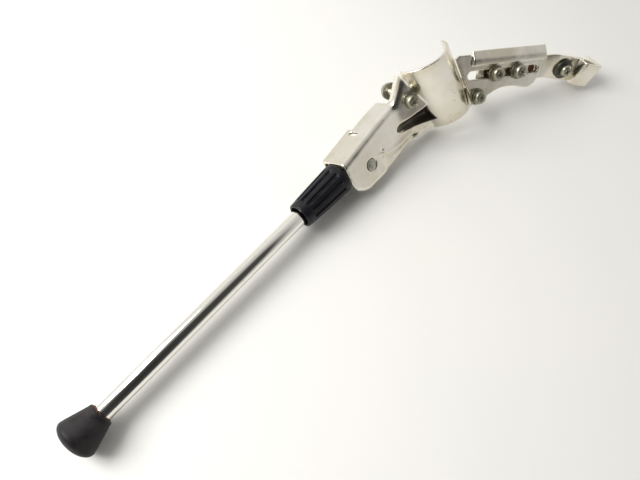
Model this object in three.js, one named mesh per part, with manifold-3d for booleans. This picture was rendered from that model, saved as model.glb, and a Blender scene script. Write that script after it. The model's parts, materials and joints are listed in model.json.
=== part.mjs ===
// Side stand for a bicycle: a pressed steel body that clamps the chainstay, a folding leg with a
// rubber foot, and a slotted arm with a hook that braces the body against the seatstay.
// The stand is drawn upright in its own frame (leg along -Y, outer face towards +Z) and the whole
// group is then laid on its side, the way it rests on a table. Millimetres, +Z up.
import * as THREE from 'three';
import { mergeVertices } from 'three/addons/utils/BufferGeometryUtils.js';
import Module from 'manifold-3d';

const wasm = await Module();
wasm.setup();

// ---------------------------------------------------------------- driving dimensions
const GAP = 0.3; // clearance kept between touching pieces
const SHEET = 2.5; // pressed steel sheet of the body
const ARM_SHEET = 3; // arm and hook strip steel

// channel that carries the leg, pivot at the frame's origin
const CHANNEL_HALF_DEPTH = 14;
const CHANNEL_BACK_Z = -14.5; // outer face of the back wall
const CHANNEL_FOOT_Y = -25;
const BACK_WALL_TOP_Y = 11;
const SPLAY_Y = 45; // height of the bend where the clamp zone starts
const SPLAY = THREE.MathUtils.degToRad(20);
const ROLLED_EDGE_Z = 5;
const SIDE_WALL_BACK_Z = -9.5; // above the back wall the side wall is less deep
const WINDOW_Y = 8.5;
const WINDOW_Z = -4;
const WINDOW_LENGTH = 10;
const WINDOW_WIDTH = 4;

// rivet, eye rod and leg
const RIVET_RADIUS = 4;
const RIVET_HEAD_RADIUS = 5.2;
const LEG_X = -5; // leg axis, beside the rivet
const LEG_TRAVEL = 3; // how far the leg pulls down against its spring
const TUBE_RADIUS = 7;
const TUBE_BORE = 5.5;
const TUBE_TOP_Y = -31;
const TUBE_END_Y = -290;
const COLLAR_TOP_Y = -26.2;
const COLLAR_END_Y = -75;
const COLLAR_TOP_RADIUS = 13.7;
const COLLAR_END_RADIUS = 11;
const COLLAR_GROOVES = 12;
const FOOT_TOP_Y = -273;
const FOOT_WIDE_Y = -293.5;
const FOOT_END_Y = -300.5;
const FOOT_BORE_END_Y = TUBE_END_Y - GAP;
const FOOT_TOP_RADIUS = 9.3;
const FOOT_WIDE_RADIUS = 15.3;
const HEAD_FLANGE_RADIUS = 11;
const STUB_END_Y = -60;
const PIN_Y = -50;
const PIN_RADIUS = 1.5;
const ROD_END_Y = -98;
const ROD_RADIUS = 3;
const SPRING_TURNS = 8;
const SPRING_WIRE = 1.2;
const SPRING_RADIUS = 4.3;

// saddle over the chainstay, in the clamp frame (u across, v up, w outwards)
const SADDLE_RADIUS = 24;
const SADDLE_START = new THREE.Vector3(-49.6, 38.3, -5.9);
const SADDLE_END = new THREE.Vector3(22, 55.5, -27.5);
const SADDLE_FOOT_W = -15;
const WING_FOOT_W = -9;
const BOLT_A = new THREE.Vector2(-23, 15);
const BOLT_B = new THREE.Vector2(13.5, 78);
const EAR_TOP_W = -8.3;
const EAR_RADIUS = 8;

// fasteners
const BOLT_RADIUS = 3;
const HOLE_RADIUS = 3.3;
const HEAD_RADIUS = 6;
const HEAD_HEIGHT = 4.2;
const WASHER_RADIUS = 7.3;
const WASHER_HEIGHT = 1.2;
const SPRING_WASHER_RADIUS = 5.6;
const SPRING_WASHER_HEIGHT = 1.6;
const NUT_RADIUS = 5.7;
const NUT_HEIGHT = 5;

// inner clamp plate
const CLAMP_PLATE_W = -34;
const CLAMP_PLATE_SHEET = 3;
const CLAMP_PLATE_HALF_WIDTH = 11;
const CLAMP_PLATE_NARROW_END = 7.5;

// slotted arm, in the arm frame (q across, p along, origin at bolt B)
const ARM_TURN = THREE.MathUtils.degToRad(-25.6);
const ARM_FACE_W = -5;
const SLOT_Q = -18.7;
const SLOT_START_P = -12.3;
const SLOT_END_P = 65.2;
const SLOT_HALF_WIDTH = 3.6;
const BOLT_C_P = 16.6;
const BOLT_D_P = 41.2;
const SPARE_HOLE_P = 60;

// hook arm, running behind the slotted arm
const HOOK_ARM_START_P = 1;
const HOOK_ARM_WIDTH = 20;
const HOOK_WIDTH = 23;
const TWIST_START = 76; // distance along the arm
const TWIST_LENGTH = 12;
const TWIST = THREE.MathUtils.degToRad(18);
const KINK = THREE.MathUtils.degToRad(11);
const BOLT_E_REACH = 10.4; // from the end of the twist to bolt E
const HOOK_RISE = 11.5;
const HOOK_RISER_Y = 13.5;
const HOOK_END_Y = 35.5;
const HOOK_DROP = 9;
const HOOK_LEAN = 0.15;
const CUP_RADIUS = 9.4;
const CUP_HEIGHT = 3;

// the way the stand lies on a flat surface
const LIE_ROLL = THREE.MathUtils.degToRad(53.75);
const LIE_PITCH = THREE.MathUtils.degToRad(0.99);
const LIE_YAW = THREE.MathUtils.degToRad(-78);

// ---------------------------------------------------------------- materials
const plated = new THREE.MeshStandardMaterial({ color: 0xd9d8cf, roughness: 0.22, metalness: 1 });
const chrome = new THREE.MeshStandardMaterial({ color: 0xd6d2c8, roughness: 0.12, metalness: 1 });
const zinc = new THREE.MeshStandardMaterial({ color: 0x6f6d58, roughness: 0.45, metalness: 0.9 });
const dark = new THREE.MeshStandardMaterial({ color: 0x3c3d36, roughness: 0.5, metalness: 0.8 });
const steel = new THREE.MeshStandardMaterial({ color: 0xa3a19a, roughness: 0.4, metalness: 1 });
const plastic = new THREE.MeshStandardMaterial({ color: 0x1b1c21, roughness: 0.5, metalness: 0 });
const rubber = new THREE.MeshStandardMaterial({ color: 0x232327, roughness: 0.75, metalness: 0 });

// ---------------------------------------------------------------- solids
function solidOf(geometry) {
  const bare = geometry.clone();
  bare.deleteAttribute('normal');
  bare.deleteAttribute('uv');
  const merged = mergeVertices(bare, 1e-4);
  return new wasm.Manifold(new wasm.Mesh({
    numProp: 3,
    vertProperties: new Float32Array(merged.attributes.position.array),
    triVerts: new Uint32Array(merged.index.array),
  }));
}

function geometryOf(solid) {
  const mesh = solid.getMesh();
  const geometry = new THREE.BufferGeometry();
  geometry.setAttribute('position', new THREE.BufferAttribute(mesh.vertProperties, 3));
  geometry.setIndex(new THREE.BufferAttribute(mesh.triVerts, 1));
  geometry.computeVertexNormals();
  return geometry;
}

function joined(...geometries) {
  const solids = geometries.map(solidOf);
  return solids.reduce((sum, solid) => sum.add(solid));
}

function without(solid, ...geometries) {
  return geometries.reduce((rest, geometry) => rest.subtract(solidOf(geometry)), solid);
}

function plate(shape, low, high, curveSegments = 10) {
  const options = { depth: high - low, bevelEnabled: false, curveSegments };
  return new THREE.ExtrudeGeometry(shape, options).translate(0, 0, low);
}

function outline(points) {
  return new THREE.Shape(points.map(([x, y]) => new THREE.Vector2(x, y)));
}

function box(x0, x1, y0, y1, z0, z1) {
  const geometry = new THREE.BoxGeometry(x1 - x0, y1 - y0, z1 - z0);
  return geometry.translate((x0 + x1) / 2, (y0 + y1) / 2, (z0 + z1) / 2);
}

// round bar along Z
function bar(radius, low, high, x = 0, y = 0, sides = 28) {
  const geometry = new THREE.CylinderGeometry(radius, radius, high - low, sides);
  return geometry.rotateX(Math.PI / 2).translate(x, y, (low + high) / 2);
}

// round bar along Y, on the leg's axis
function legBar(radius, low, high, sides = 32) {
  const geometry = new THREE.CylinderGeometry(radius, radius, high - low, sides);
  return geometry.translate(LEG_X, (low + high) / 2, 0);
}

// turned piece: profile of [radius, height] pairs that closes on itself or ends on the axis
function turned(profile, sides = 32) {
  return new THREE.LatheGeometry(profile.map(([r, y]) => new THREE.Vector2(r, y)), sides);
}

function named(name, geometry, material) {
  const mesh = new THREE.Mesh(geometry, material);
  mesh.name = name;
  return mesh;
}

function inClampFrame(geometry) {
  return geometry.rotateX(SPLAY).translate(0, SPLAY_Y, CHANNEL_HALF_DEPTH);
}

// ---------------------------------------------------------------- pressed body
// left edge of the channel and tongue, from the foot of the channel up to the bend
const LEFT_EDGE = [[-19, CHANNEL_FOOT_Y], [-22.5, 0], [-25.5, 22], [-28, 46]];

function leftEdgeX(y) {
  const above = LEFT_EDGE.findIndex(([, edgeY]) => edgeY >= y);
  const [x1, y1] = LEFT_EDGE[Math.max(above, 1)];
  const [x0, y0] = LEFT_EDGE[Math.max(above, 1) - 1];
  return x0 + (x1 - x0) * (y - y0) / (y1 - y0);
}

function rightEdge() {
  const low = new THREE.EllipseCurve(0, -7, 18.6, 18.6, -Math.PI / 2, 0);
  const rise = new THREE.SplineCurve([
    new THREE.Vector2(18.6, -5), new THREE.Vector2(18.5, 16), new THREE.Vector2(16.6, 36),
    new THREE.Vector2(14.6, 52), new THREE.Vector2(16.2, 68), new THREE.Vector2(22, 84),
  ]);
  return [low.getPoints(10), rise.getPoints(18)];
}

function outerWall() {
  const [low, rise] = rightEdge();
  const strip = [[11, 84], [6, 70], [2.5, 56], [-1, 44], [-5, 38], [-8, 40]];
  const points = [...low, ...rise].map(({ x, y }) => [x, y]);
  const tongueRoot = [[-8, 46], ...LEFT_EDGE.toReversed()];
  const shape = outline([...points, ...strip, ...tongueRoot]);
  return plate(shape, CHANNEL_HALF_DEPTH - SHEET, CHANNEL_HALF_DEPTH);
}

// narrow wall that follows an edge, as thick as the sheet
function edgeWall(edge, inwards, low, high) {
  const inner = edge.map(([x, y]) => [x + inwards * SHEET, y]).reverse();
  const loop = inwards > 0 ? [...edge, ...inner].reverse() : [...edge, ...inner];
  return plate(outline(loop), low, high);
}

function sideWall() {
  const lower = LEFT_EDGE.slice(0, 2).concat([[leftEdgeX(13), 13]]);
  const upper = [[leftEdgeX(12.5), 12.5], LEFT_EDGE[2], LEFT_EDGE[3], [-28.3, 48]];
  return [
    edgeWall(lower, 1, CHANNEL_BACK_Z, CHANNEL_HALF_DEPTH),
    edgeWall(upper, 1, SIDE_WALL_BACK_Z, CHANNEL_HALF_DEPTH),
  ];
}

function backWall() {
  const shape = new THREE.Shape();
  shape.moveTo(...LEFT_EDGE[0]);
  shape.lineTo(-2, CHANNEL_FOOT_Y);
  shape.quadraticCurveTo(8, -20, 9.3, -2.3);
  shape.absarc(0, 0, 9.6, -0.24, 1.1, false);
  shape.lineTo(-6, BACK_WALL_TOP_Y);
  shape.lineTo(leftEdgeX(BACK_WALL_TOP_Y), BACK_WALL_TOP_Y);
  shape.lineTo(...LEFT_EDGE[1]);
  shape.closePath();
  return plate(shape, CHANNEL_BACK_Z, CHANNEL_BACK_Z + SHEET);
}

function rolledEdge() {
  const [, rise] = rightEdge();
  const edge = rise.map(({ x, y }) => [x, y]);
  return edgeWall(edge, -1, ROLLED_EDGE_Z, CHANNEL_HALF_DEPTH);
}

function tongue() {
  const points = [
    [-28, -0.6], [-8, -0.6], [-8.6, 14], [-9.5, 28], [-24, 25.5], [-40, 24], [-49.6, 15],
    [-38, 7],
  ];
  return inClampFrame(plate(outline(points), -SHEET, 0));
}

// flange that carries the side wall on to the saddle's near foot
function wing() {
  const edge = [[-28, -1], [-38, 7], [-47, 13.4]];
  return inClampFrame(edgeWall(edge, 1, WING_FOOT_W, 0));
}

// half pipe along its own straight axis, trimmed square at both ends
function saddle() {
  const section = new THREE.Shape();
  section.absarc(0, 0, SADDLE_RADIUS, 0, Math.PI, false);
  section.absarc(0, 0, SADDLE_RADIUS - SHEET, Math.PI, 0, true);
  section.closePath();
  const axis = SADDLE_END.clone().sub(SADDLE_START).normalize();
  const pipe = plate(section, -20, SADDLE_START.distanceTo(SADDLE_END) + 20, 20);
  const across = new THREE.Vector3(0, 0, 1).cross(axis).normalize();
  const outwards = axis.clone().cross(across).normalize();
  pipe.applyMatrix4(new THREE.Matrix4().makeBasis(across, outwards, axis));
  pipe.translate(SADDLE_START.x, SADDLE_START.y, SADDLE_START.z);
  const keep = box(SADDLE_START.x, SADDLE_END.x, 0, 100, SADDLE_FOOT_W, 40);
  return solidOf(pipe).intersect(solidOf(keep));
}

// ear beside the saddle that takes bolt B
function ear() {
  const shape = new THREE.Shape();
  shape.moveTo(0, 70);
  shape.lineTo(22, 70);
  shape.absarc(BOLT_B.x, BOLT_B.y, EAR_RADIUS, -0.3, 2.9, false);
  shape.closePath();
  return inClampFrame(plate(shape, EAR_TOP_W - SHEET, EAR_TOP_W));
}

function standBody() {
  const saddleGeometry = inClampFrame(geometryOf(saddle()));
  const solid = joined(
    outerWall(), ...sideWall(), backWall(), rolledEdge(), tongue(), wing(), saddleGeometry, ear(),
  );
  const window = new THREE.CapsuleGeometry(WINDOW_WIDTH / 2, WINDOW_LENGTH - WINDOW_WIDTH, 4, 12);
  window.rotateX(Math.PI / 2).scale(6, 1, 1).translate(leftEdgeX(WINDOW_Y), WINDOW_Y, WINDOW_Z);
  return without(
    solid,
    bar(RIVET_RADIUS + GAP, -20, 20),
    bar(RIVET_HEAD_RADIUS + GAP, CHANNEL_HALF_DEPTH - 1.5, 20),
    window,
    inClampFrame(bar(HOLE_RADIUS, -9, 9, BOLT_A.x, BOLT_A.y)),
    inClampFrame(bar(HOLE_RADIUS, -20, 0, BOLT_B.x, BOLT_B.y)),
  );
}

// ---------------------------------------------------------------- rivet, leg and rod
function pivotRivet() {
  const top = CHANNEL_HALF_DEPTH;
  const back = CHANNEL_BACK_Z - GAP;
  const profile = [
    [0, back - 2], [5, back - 2], [6.2, back - 1.3], [6.2, back], [RIVET_RADIUS, back],
    [RIVET_RADIUS, top - 1.2], [RIVET_HEAD_RADIUS, top - 1.2], [RIVET_HEAD_RADIUS, top - 0.2],
    [RIVET_HEAD_RADIUS - 0.4, top + 0.2], [0, top + 0.2],
  ];
  return turned(profile, 28).rotateX(Math.PI / 2);
}

function legHead() {
  const high = CHANNEL_HALF_DEPTH - SHEET - 0.5;
  const low = CHANNEL_BACK_Z + SHEET + 0.5;
  const solid = joined(
    bar(10.5, low, high),
    box(LEG_X - 6.8, LEG_X + 6.8, COLLAR_TOP_Y - 1, 0, -8, ROLLED_EDGE_Z - 0.4),
    legBar(HEAD_FLANGE_RADIUS, TUBE_TOP_Y + 1.4, COLLAR_TOP_Y - 0.4),
    legBar(TUBE_BORE - GAP, STUB_END_Y, TUBE_TOP_Y + 2),
  );
  const slot = joined(
    bar(RIVET_RADIUS + GAP, -20, 20),
    bar(RIVET_RADIUS + GAP, -20, 20, 0, LEG_TRAVEL),
    box(-RIVET_RADIUS - GAP, RIVET_RADIUS + GAP, 0, LEG_TRAVEL, -20, 20),
  );
  return without(
    solid.subtract(slot),
    box(-20, 20, -12.5, 20, -3.1, 3.1),
    legBar(ROD_RADIUS + GAP, STUB_END_Y - 5, 0, 20),
    bar(PIN_RADIUS + GAP, 0, 12, LEG_X, PIN_Y, 16),
  );
}

function pullRod() {
  const solid = joined(
    bar(7.6, -2.6, 2.6),
    legBar(ROD_RADIUS, ROD_END_Y, -3, 20),
    legBar(TUBE_BORE - 0.6, ROD_END_Y, ROD_END_Y + 3, 24),
    box(LEG_X - 2.6, 0, -6, 0, -2.6, 2.6),
  );
  return without(solid, bar(RIVET_RADIUS + GAP, -6, 6));
}

class SpringCurve extends THREE.Curve {
  getPoint(t, target = new THREE.Vector3()) {
    const angle = t * SPRING_TURNS * Math.PI * 2;
    const low = ROD_END_Y + 3 + GAP + SPRING_WIRE / 2;
    const high = STUB_END_Y - GAP - SPRING_WIRE / 2;
    const y = low + (high - low) * t;
    return target.set(SPRING_RADIUS * Math.cos(angle), y, SPRING_RADIUS * Math.sin(angle));
  }
}

function legSpring() {
  const wire = new THREE.Shape();
  wire.absarc(0, 0, SPRING_WIRE / 2, 0, Math.PI * 2, false);
  const options = { extrudePath: new SpringCurve(), steps: SPRING_TURNS * 14, curveSegments: 3 };
  return new THREE.ExtrudeGeometry(wire, { ...options, bevelEnabled: false }).translate(LEG_X, 0, 0);
}

function legTube() {
  const tube = turned([
    [TUBE_BORE, TUBE_END_Y], [TUBE_RADIUS, TUBE_END_Y], [TUBE_RADIUS, TUBE_TOP_Y],
    [TUBE_BORE, TUBE_TOP_Y], [TUBE_BORE, TUBE_END_Y],
  ]).translate(LEG_X, 0, 0);
  return without(solidOf(tube), bar(PIN_RADIUS + GAP, 0, 12, LEG_X, PIN_Y, 16));
}

// short pin through one wall of the tube into the head's stub, clear of the rod
function tubePin() {
  return bar(PIN_RADIUS, ROD_RADIUS + 2 * GAP, TUBE_RADIUS, LEG_X, PIN_Y, 16);
}

function collar() {
  const bore = TUBE_RADIUS + GAP;
  const profile = [
    [bore, COLLAR_END_Y + 3], [9.4, COLLAR_END_Y + 3], [9.4, COLLAR_END_Y],
    [COLLAR_END_RADIUS - 0.5, COLLAR_END_Y], [COLLAR_END_RADIUS, COLLAR_END_Y + 0.8],
    [COLLAR_TOP_RADIUS - 0.2, COLLAR_TOP_Y - 3], [COLLAR_TOP_RADIUS, COLLAR_TOP_Y - 1],
    [COLLAR_TOP_RADIUS - 0.8, COLLAR_TOP_Y], [11.4, COLLAR_TOP_Y], [11.4, TUBE_TOP_Y + 1],
    [bore, TUBE_TOP_Y + 1], [bore, COLLAR_END_Y + 3],
  ];
  const body = solidOf(turned(profile, 36));
  const slope = Math.atan2(COLLAR_TOP_RADIUS - COLLAR_END_RADIUS, COLLAR_TOP_Y - COLLAR_END_Y);
  const middle = (COLLAR_TOP_Y + COLLAR_END_Y) / 2 - 1;
  const grooves = Array.from({ length: COLLAR_GROOVES }, (_, index) => {
    const groove = new THREE.BoxGeometry(3, 33, 1.7);
    groove.rotateZ(-slope).translate(13, middle, 0);
    return groove.rotateY((index + 0.5) * Math.PI * 2 / COLLAR_GROOVES);
  });
  return geometryOf(without(body, ...grooves)).translate(LEG_X, 0, 0);
}

function foot() {
  const bore = TUBE_RADIUS + GAP;
  const dome = new THREE.EllipseCurve(
    0, FOOT_WIDE_Y, FOOT_WIDE_RADIUS, FOOT_WIDE_Y - FOOT_END_Y, 0, -Math.PI / 2, true,
  ).getPoints(6).map(({ x, y }) => [Math.max(x, 0), y]).reverse();
  const profile = [
    ...dome, [FOOT_WIDE_RADIUS - 0.2, FOOT_WIDE_Y + 2],
    [FOOT_TOP_RADIUS, FOOT_TOP_Y - 0.8], [FOOT_TOP_RADIUS - 0.6, FOOT_TOP_Y],
    [bore, FOOT_TOP_Y], [bore, FOOT_BORE_END_Y], [0, FOOT_BORE_END_Y],
  ];
  profile[0][0] = 0;
  return turned(profile, 36).translate(LEG_X, 0, 0);
}

// ---------------------------------------------------------------- fasteners, head towards +Z
// pan head bolt with a cross recess: the head's underside is at height zero
function bolt(length, headRadius = HEAD_RADIUS) {
  const profile = [
    [0, -length], [BOLT_RADIUS - 0.5, -length], [BOLT_RADIUS, -length + 0.6], [BOLT_RADIUS, 0],
    [headRadius, 0], [headRadius, HEAD_HEIGHT * 0.5], [headRadius - 1.4, HEAD_HEIGHT * 0.9],
    [headRadius - 2.6, HEAD_HEIGHT], [0, HEAD_HEIGHT],
  ];
  const reach = headRadius * 0.5;
  const recess = joined(
    box(-reach, reach, -0.7, 0.7, HEAD_HEIGHT - 1.8, HEAD_HEIGHT + 2),
    box(-0.7, 0.7, -reach, reach, HEAD_HEIGHT - 1.8, HEAD_HEIGHT + 2),
  );
  return geometryOf(solidOf(turned(profile, 24).rotateX(Math.PI / 2)).subtract(recess));
}

function flatWasher(radius = WASHER_RADIUS, height = WASHER_HEIGHT) {
  const shape = new THREE.Shape();
  shape.absarc(0, 0, radius, 0, Math.PI * 2, false);
  const hole = new THREE.Path();
  hole.absarc(0, 0, HOLE_RADIUS, 0, Math.PI * 2, true);
  shape.holes.push(hole);
  return plate(shape, 0, height, 12);
}

function springWasher() {
  const shape = new THREE.Shape();
  shape.absarc(0, 0, SPRING_WASHER_RADIUS, 0.1, Math.PI * 2 - 0.1, false);
  shape.absarc(0, 0, HOLE_RADIUS, Math.PI * 2 - 0.14, 0.14, true);
  shape.closePath();
  return plate(shape, 0, SPRING_WASHER_HEIGHT, 20);
}

function nut() {
  const corners = Array.from({ length: 6 }, (_, index) => {
    const angle = index * Math.PI / 3;
    return [NUT_RADIUS * Math.cos(angle), NUT_RADIUS * Math.sin(angle)];
  });
  const shape = outline(corners);
  const hole = new THREE.Path();
  hole.absarc(0, 0, HOLE_RADIUS, 0, Math.PI * 2, true);
  shape.holes.push(hole);
  return plate(shape, -NUT_HEIGHT, 0, 12);
}

// bolt, spring washer and flat washer on a face, with the nut below it
function addFastener(group, letter, x, y, faceZ, nutZ, tail) {
  const washerZ = faceZ + GAP;
  const springZ = washerZ + WASHER_HEIGHT + GAP;
  const headZ = springZ + SPRING_WASHER_HEIGHT + GAP;
  const pieces = [
    named(`flat_washer_${letter}`, flatWasher(), zinc),
    named(`spring_washer_${letter}`, springWasher(), zinc),
    named(`bolt_${letter}`, bolt(headZ - nutZ + NUT_HEIGHT + tail), zinc),
    named(`nut_${letter}`, nut(), zinc),
  ];
  [washerZ, springZ, headZ, nutZ].forEach((z, index) => pieces[index].position.set(x, y, z));
  pieces[2].rotation.z = 0.5 + x * 0.3;
  group.add(...pieces);
}

// ---------------------------------------------------------------- clamp plate
function clampPlate() {
  const half = BOLT_A.distanceTo(BOLT_B) / 2;
  const shape = new THREE.Shape();
  shape.absarc(half, 0, CLAMP_PLATE_HALF_WIDTH, -Math.PI / 2, Math.PI / 2, false);
  shape.absarc(-half, 0, CLAMP_PLATE_NARROW_END, Math.PI / 2, Math.PI * 1.5, false);
  shape.closePath();
  const centre = BOLT_A.clone().add(BOLT_B).multiplyScalar(0.5);
  const turn = BOLT_B.clone().sub(BOLT_A).angle();
  const blank = plate(shape, CLAMP_PLATE_W - CLAMP_PLATE_SHEET, CLAMP_PLATE_W);
  blank.rotateZ(turn).translate(centre.x, centre.y, 0);
  const holes = [BOLT_A, BOLT_B].map(({ x, y }) => bar(HOLE_RADIUS, -60, 0, x, y));
  return geometryOf(without(solidOf(blank), ...holes));
}

// ---------------------------------------------------------------- slotted arm
function armOutline() {
  const shape = new THREE.Shape();
  shape.moveTo(-36.5, -28.2);
  shape.lineTo(3.2, -4.4);
  shape.lineTo(8.2, -1.6);
  shape.absarc(0, 0, 8.4, -0.18, 1.15, false);
  shape.quadraticCurveTo(-1, 15, -4.6, 25);
  shape.quadraticCurveTo(-6.4, 38, -3.4, 50);
  shape.quadraticCurveTo(-0.6, 60, -6, 64.5);
  shape.lineTo(-22, 70.5);
  shape.lineTo(-32, 71.5);
  shape.lineTo(-32, -7);
  shape.lineTo(-36.5, -9.5);
  shape.closePath();
  return shape;
}

function slotHole() {
  const middleLow = SLOT_START_P + SLOT_HALF_WIDTH;
  const middleHigh = SLOT_END_P - SLOT_HALF_WIDTH;
  const shape = new THREE.Shape();
  shape.absarc(SLOT_Q, middleHigh, SLOT_HALF_WIDTH, 0, Math.PI, false);
  shape.absarc(SLOT_Q, middleLow, SLOT_HALF_WIDTH, Math.PI, Math.PI * 2, false);
  shape.closePath();
  return plate(shape, -30, 30);
}

function slottedArm() {
  const flange = box(-9.4, 0, -5.5, 70.5, -ARM_SHEET, 0);
  flange.rotateY(THREE.MathUtils.degToRad(-30)).translate(-31.2, 0, ARM_FACE_W);
  const solid = joined(plate(armOutline(), ARM_FACE_W - ARM_SHEET, ARM_FACE_W), flange);
  return geometryOf(without(solid, slotHole(), bar(HOLE_RADIUS, -20, 20)));
}

// ---------------------------------------------------------------- hook arm
// middle of the strip's thickness behind the slotted arm
const HOOK_ARM_W = ARM_FACE_W - ARM_SHEET - GAP - ARM_SHEET / 2;

// frame of the strip at a distance along it: straight, then turning and twisting, then straight
function stripFrame(distance) {
  const bent = THREE.MathUtils.clamp((distance - TWIST_START) / TWIST_LENGTH, 0, 1);
  const turn = KINK * bent;
  const radius = TWIST_LENGTH / KINK;
  const before = Math.min(distance, TWIST_START);
  const after = Math.max(distance - TWIST_START - TWIST_LENGTH, 0);
  const x = radius * (1 - Math.cos(turn)) + after * Math.sin(turn);
  const y = before + radius * Math.sin(turn) + after * Math.cos(turn);
  const rotation = new THREE.Euler(0, TWIST * bent, -turn, 'ZYX');
  const matrix = new THREE.Matrix4().makeRotationFromEuler(rotation);
  return matrix.setPosition(SLOT_Q + x, HOOK_ARM_START_P + y, HOOK_ARM_W);
}

const BOLT_E_DISTANCE = TWIST_START + TWIST_LENGTH + BOLT_E_REACH;

function hookStrip() {
  const length = BOLT_E_DISTANCE + HOOK_RISER_Y - 2;
  const strip = new THREE.BoxGeometry(HOOK_ARM_WIDTH, length, ARM_SHEET, 1, 48, 1);
  strip.translate(0, length / 2, 0);
  const position = strip.attributes.position;
  const point = new THREE.Vector3();
  for (let index = 0; index < position.count; index += 1) {
    point.fromBufferAttribute(position, index);
    const frame = stripFrame(point.y);
    const widen = THREE.MathUtils.smoothstep(point.y, TWIST_START, TWIST_START + TWIST_LENGTH);
    const side = point.x * (1 + widen * (HOOK_WIDTH / HOOK_ARM_WIDTH - 1));
    point.set(side, 0, point.z).applyMatrix4(frame);
    position.setXYZ(index, point.x, point.y, point.z);
  }
  return strip;
}

// riser, crown and far wall, bent from the end of the strip; the crown leans to one side
function hookEnd() {
  const half = ARM_SHEET / 2;
  const inner = HOOK_RISE - ARM_SHEET;
  const points = [
    [6, -half], [HOOK_RISER_Y + ARM_SHEET, -half], [HOOK_RISER_Y + ARM_SHEET, inner],
    [HOOK_END_Y - ARM_SHEET, inner], [HOOK_END_Y - ARM_SHEET, -HOOK_DROP],
    [HOOK_END_Y, -HOOK_DROP], [HOOK_END_Y, HOOK_RISE], [HOOK_RISER_Y, HOOK_RISE],
    [HOOK_RISER_Y, half], [6, half],
  ];
  const hook = plate(outline(points), -HOOK_WIDTH / 2, HOOK_WIDTH / 2);
  hook.applyMatrix4(new THREE.Matrix4().makeBasis(
    new THREE.Vector3(0, 1, 0), new THREE.Vector3(0, 0, 1), new THREE.Vector3(1, 0, 0),
  ));
  const position = hook.attributes.position;
  for (let index = 0; index < position.count; index += 1) {
    const z = position.getZ(index);
    const lean = z > half + 1 ? HOOK_LEAN * position.getX(index) : 0;
    position.setZ(index, z - lean);
  }
  return hook.applyMatrix4(stripFrame(BOLT_E_DISTANCE));
}

function hookArm() {
  const solid = joined(hookStrip(), hookEnd());
  const rows = [BOLT_C_P, BOLT_D_P, SPARE_HOLE_P];
  const holes = rows.map((p) => bar(HOLE_RADIUS, -30, 10, SLOT_Q, p));
  const endHole = bar(HOLE_RADIUS, -10, 6).applyMatrix4(stripFrame(BOLT_E_DISTANCE));
  return geometryOf(without(solid, ...holes, endHole));
}

// inner jaw that holds the seatstay in the hook, in the frame of bolt E
function stayJaw() {
  const points = [
    [-8, -1.8], [-8, -4.8], [9, -4.8], [13, -12], [31, -12], [31, -9], [14.5, -9], [10.5, -1.8],
  ];
  const jaw = plate(outline(points), -7.5, 7.5);
  jaw.applyMatrix4(new THREE.Matrix4().makeBasis(
    new THREE.Vector3(0, 1, 0), new THREE.Vector3(0, 0, 1), new THREE.Vector3(1, 0, 0),
  ));
  return geometryOf(without(solidOf(jaw), bar(HOLE_RADIUS, -20, 5)));
}

function addEndFastener(group) {
  const face = ARM_SHEET / 2 + GAP;
  const cup = named('cup_washer_e', flatWasher(CUP_RADIUS, CUP_HEIGHT), dark);
  cup.position.z = face;
  const nutZ = -4.8 - GAP;
  const headZ = face + CUP_HEIGHT + GAP;
  const screw = named('bolt_e', bolt(headZ - nutZ + NUT_HEIGHT + 5, 5.3), dark);
  screw.position.z = headZ;
  const back = named('nut_e', nut(), zinc);
  back.position.z = nutZ;
  group.add(cup, screw, back);
}

// ---------------------------------------------------------------- assembly
const stand = new THREE.Group();
stand.add(
  named('stand_body', geometryOf(standBody()), plated),
  named('pivot_rivet', pivotRivet(), steel),
  named('leg_head', geometryOf(legHead()), steel),
  named('pull_rod', geometryOf(pullRod()), steel),
  named('leg_spring', legSpring(), steel),
  named('leg_tube', geometryOf(legTube()), chrome),
  named('tube_pin', tubePin(), steel),
  named('collar', collar(), plastic),
  named('foot', foot(), rubber),
);

const clampFrame = new THREE.Group();
clampFrame.position.set(0, SPLAY_Y, CHANNEL_HALF_DEPTH);
clampFrame.rotation.x = SPLAY;
clampFrame.add(named('clamp_plate', clampPlate(), zinc));
const clampNutW = CLAMP_PLATE_W - CLAMP_PLATE_SHEET - GAP;
addFastener(clampFrame, 'a', BOLT_A.x, BOLT_A.y, 0, clampNutW, 2);
addFastener(clampFrame, 'b', BOLT_B.x, BOLT_B.y, ARM_FACE_W, clampNutW, 2);
stand.add(clampFrame);

const armFrame = new THREE.Group();
armFrame.position.set(BOLT_B.x, BOLT_B.y, 0);
armFrame.rotation.z = ARM_TURN;
armFrame.add(named('slotted_arm', slottedArm(), plated));
armFrame.add(named('hook_arm', hookArm(), plated));
const slideNutW = HOOK_ARM_W - ARM_SHEET / 2 - GAP;
addFastener(armFrame, 'c', SLOT_Q, BOLT_C_P, ARM_FACE_W, slideNutW, 2);
addFastener(armFrame, 'd', SLOT_Q, BOLT_D_P, ARM_FACE_W, slideNutW, 2);
clampFrame.add(armFrame);

const endFrame = new THREE.Group();
endFrame.applyMatrix4(stripFrame(BOLT_E_DISTANCE));
endFrame.add(named('stay_jaw', stayJaw(), zinc));
addEndFastener(endFrame);
armFrame.add(endFrame);

const laid = new THREE.Group();
laid.add(stand);
stand.rotation.set(LIE_PITCH, LIE_ROLL, LIE_YAW, 'ZXY');
laid.updateMatrixWorld(true);
const bounds = new THREE.Box3().setFromObject(laid, true);
const middle = bounds.getCenter(new THREE.Vector3());
stand.position.set(-middle.x, -middle.y, -bounds.min.z);

export default laid;
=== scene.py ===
"""Looks of a bicycle side stand lying on a pale table.

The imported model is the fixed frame. Visible sheet, tube, plastic, rubber and fasteners are rebuilt
as numpy surfaces in the stand's own local frames, which come from the record's joints, and the
inner pieces keep their solids with a better finish. Local sizes are in millimetres.
"""

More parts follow.
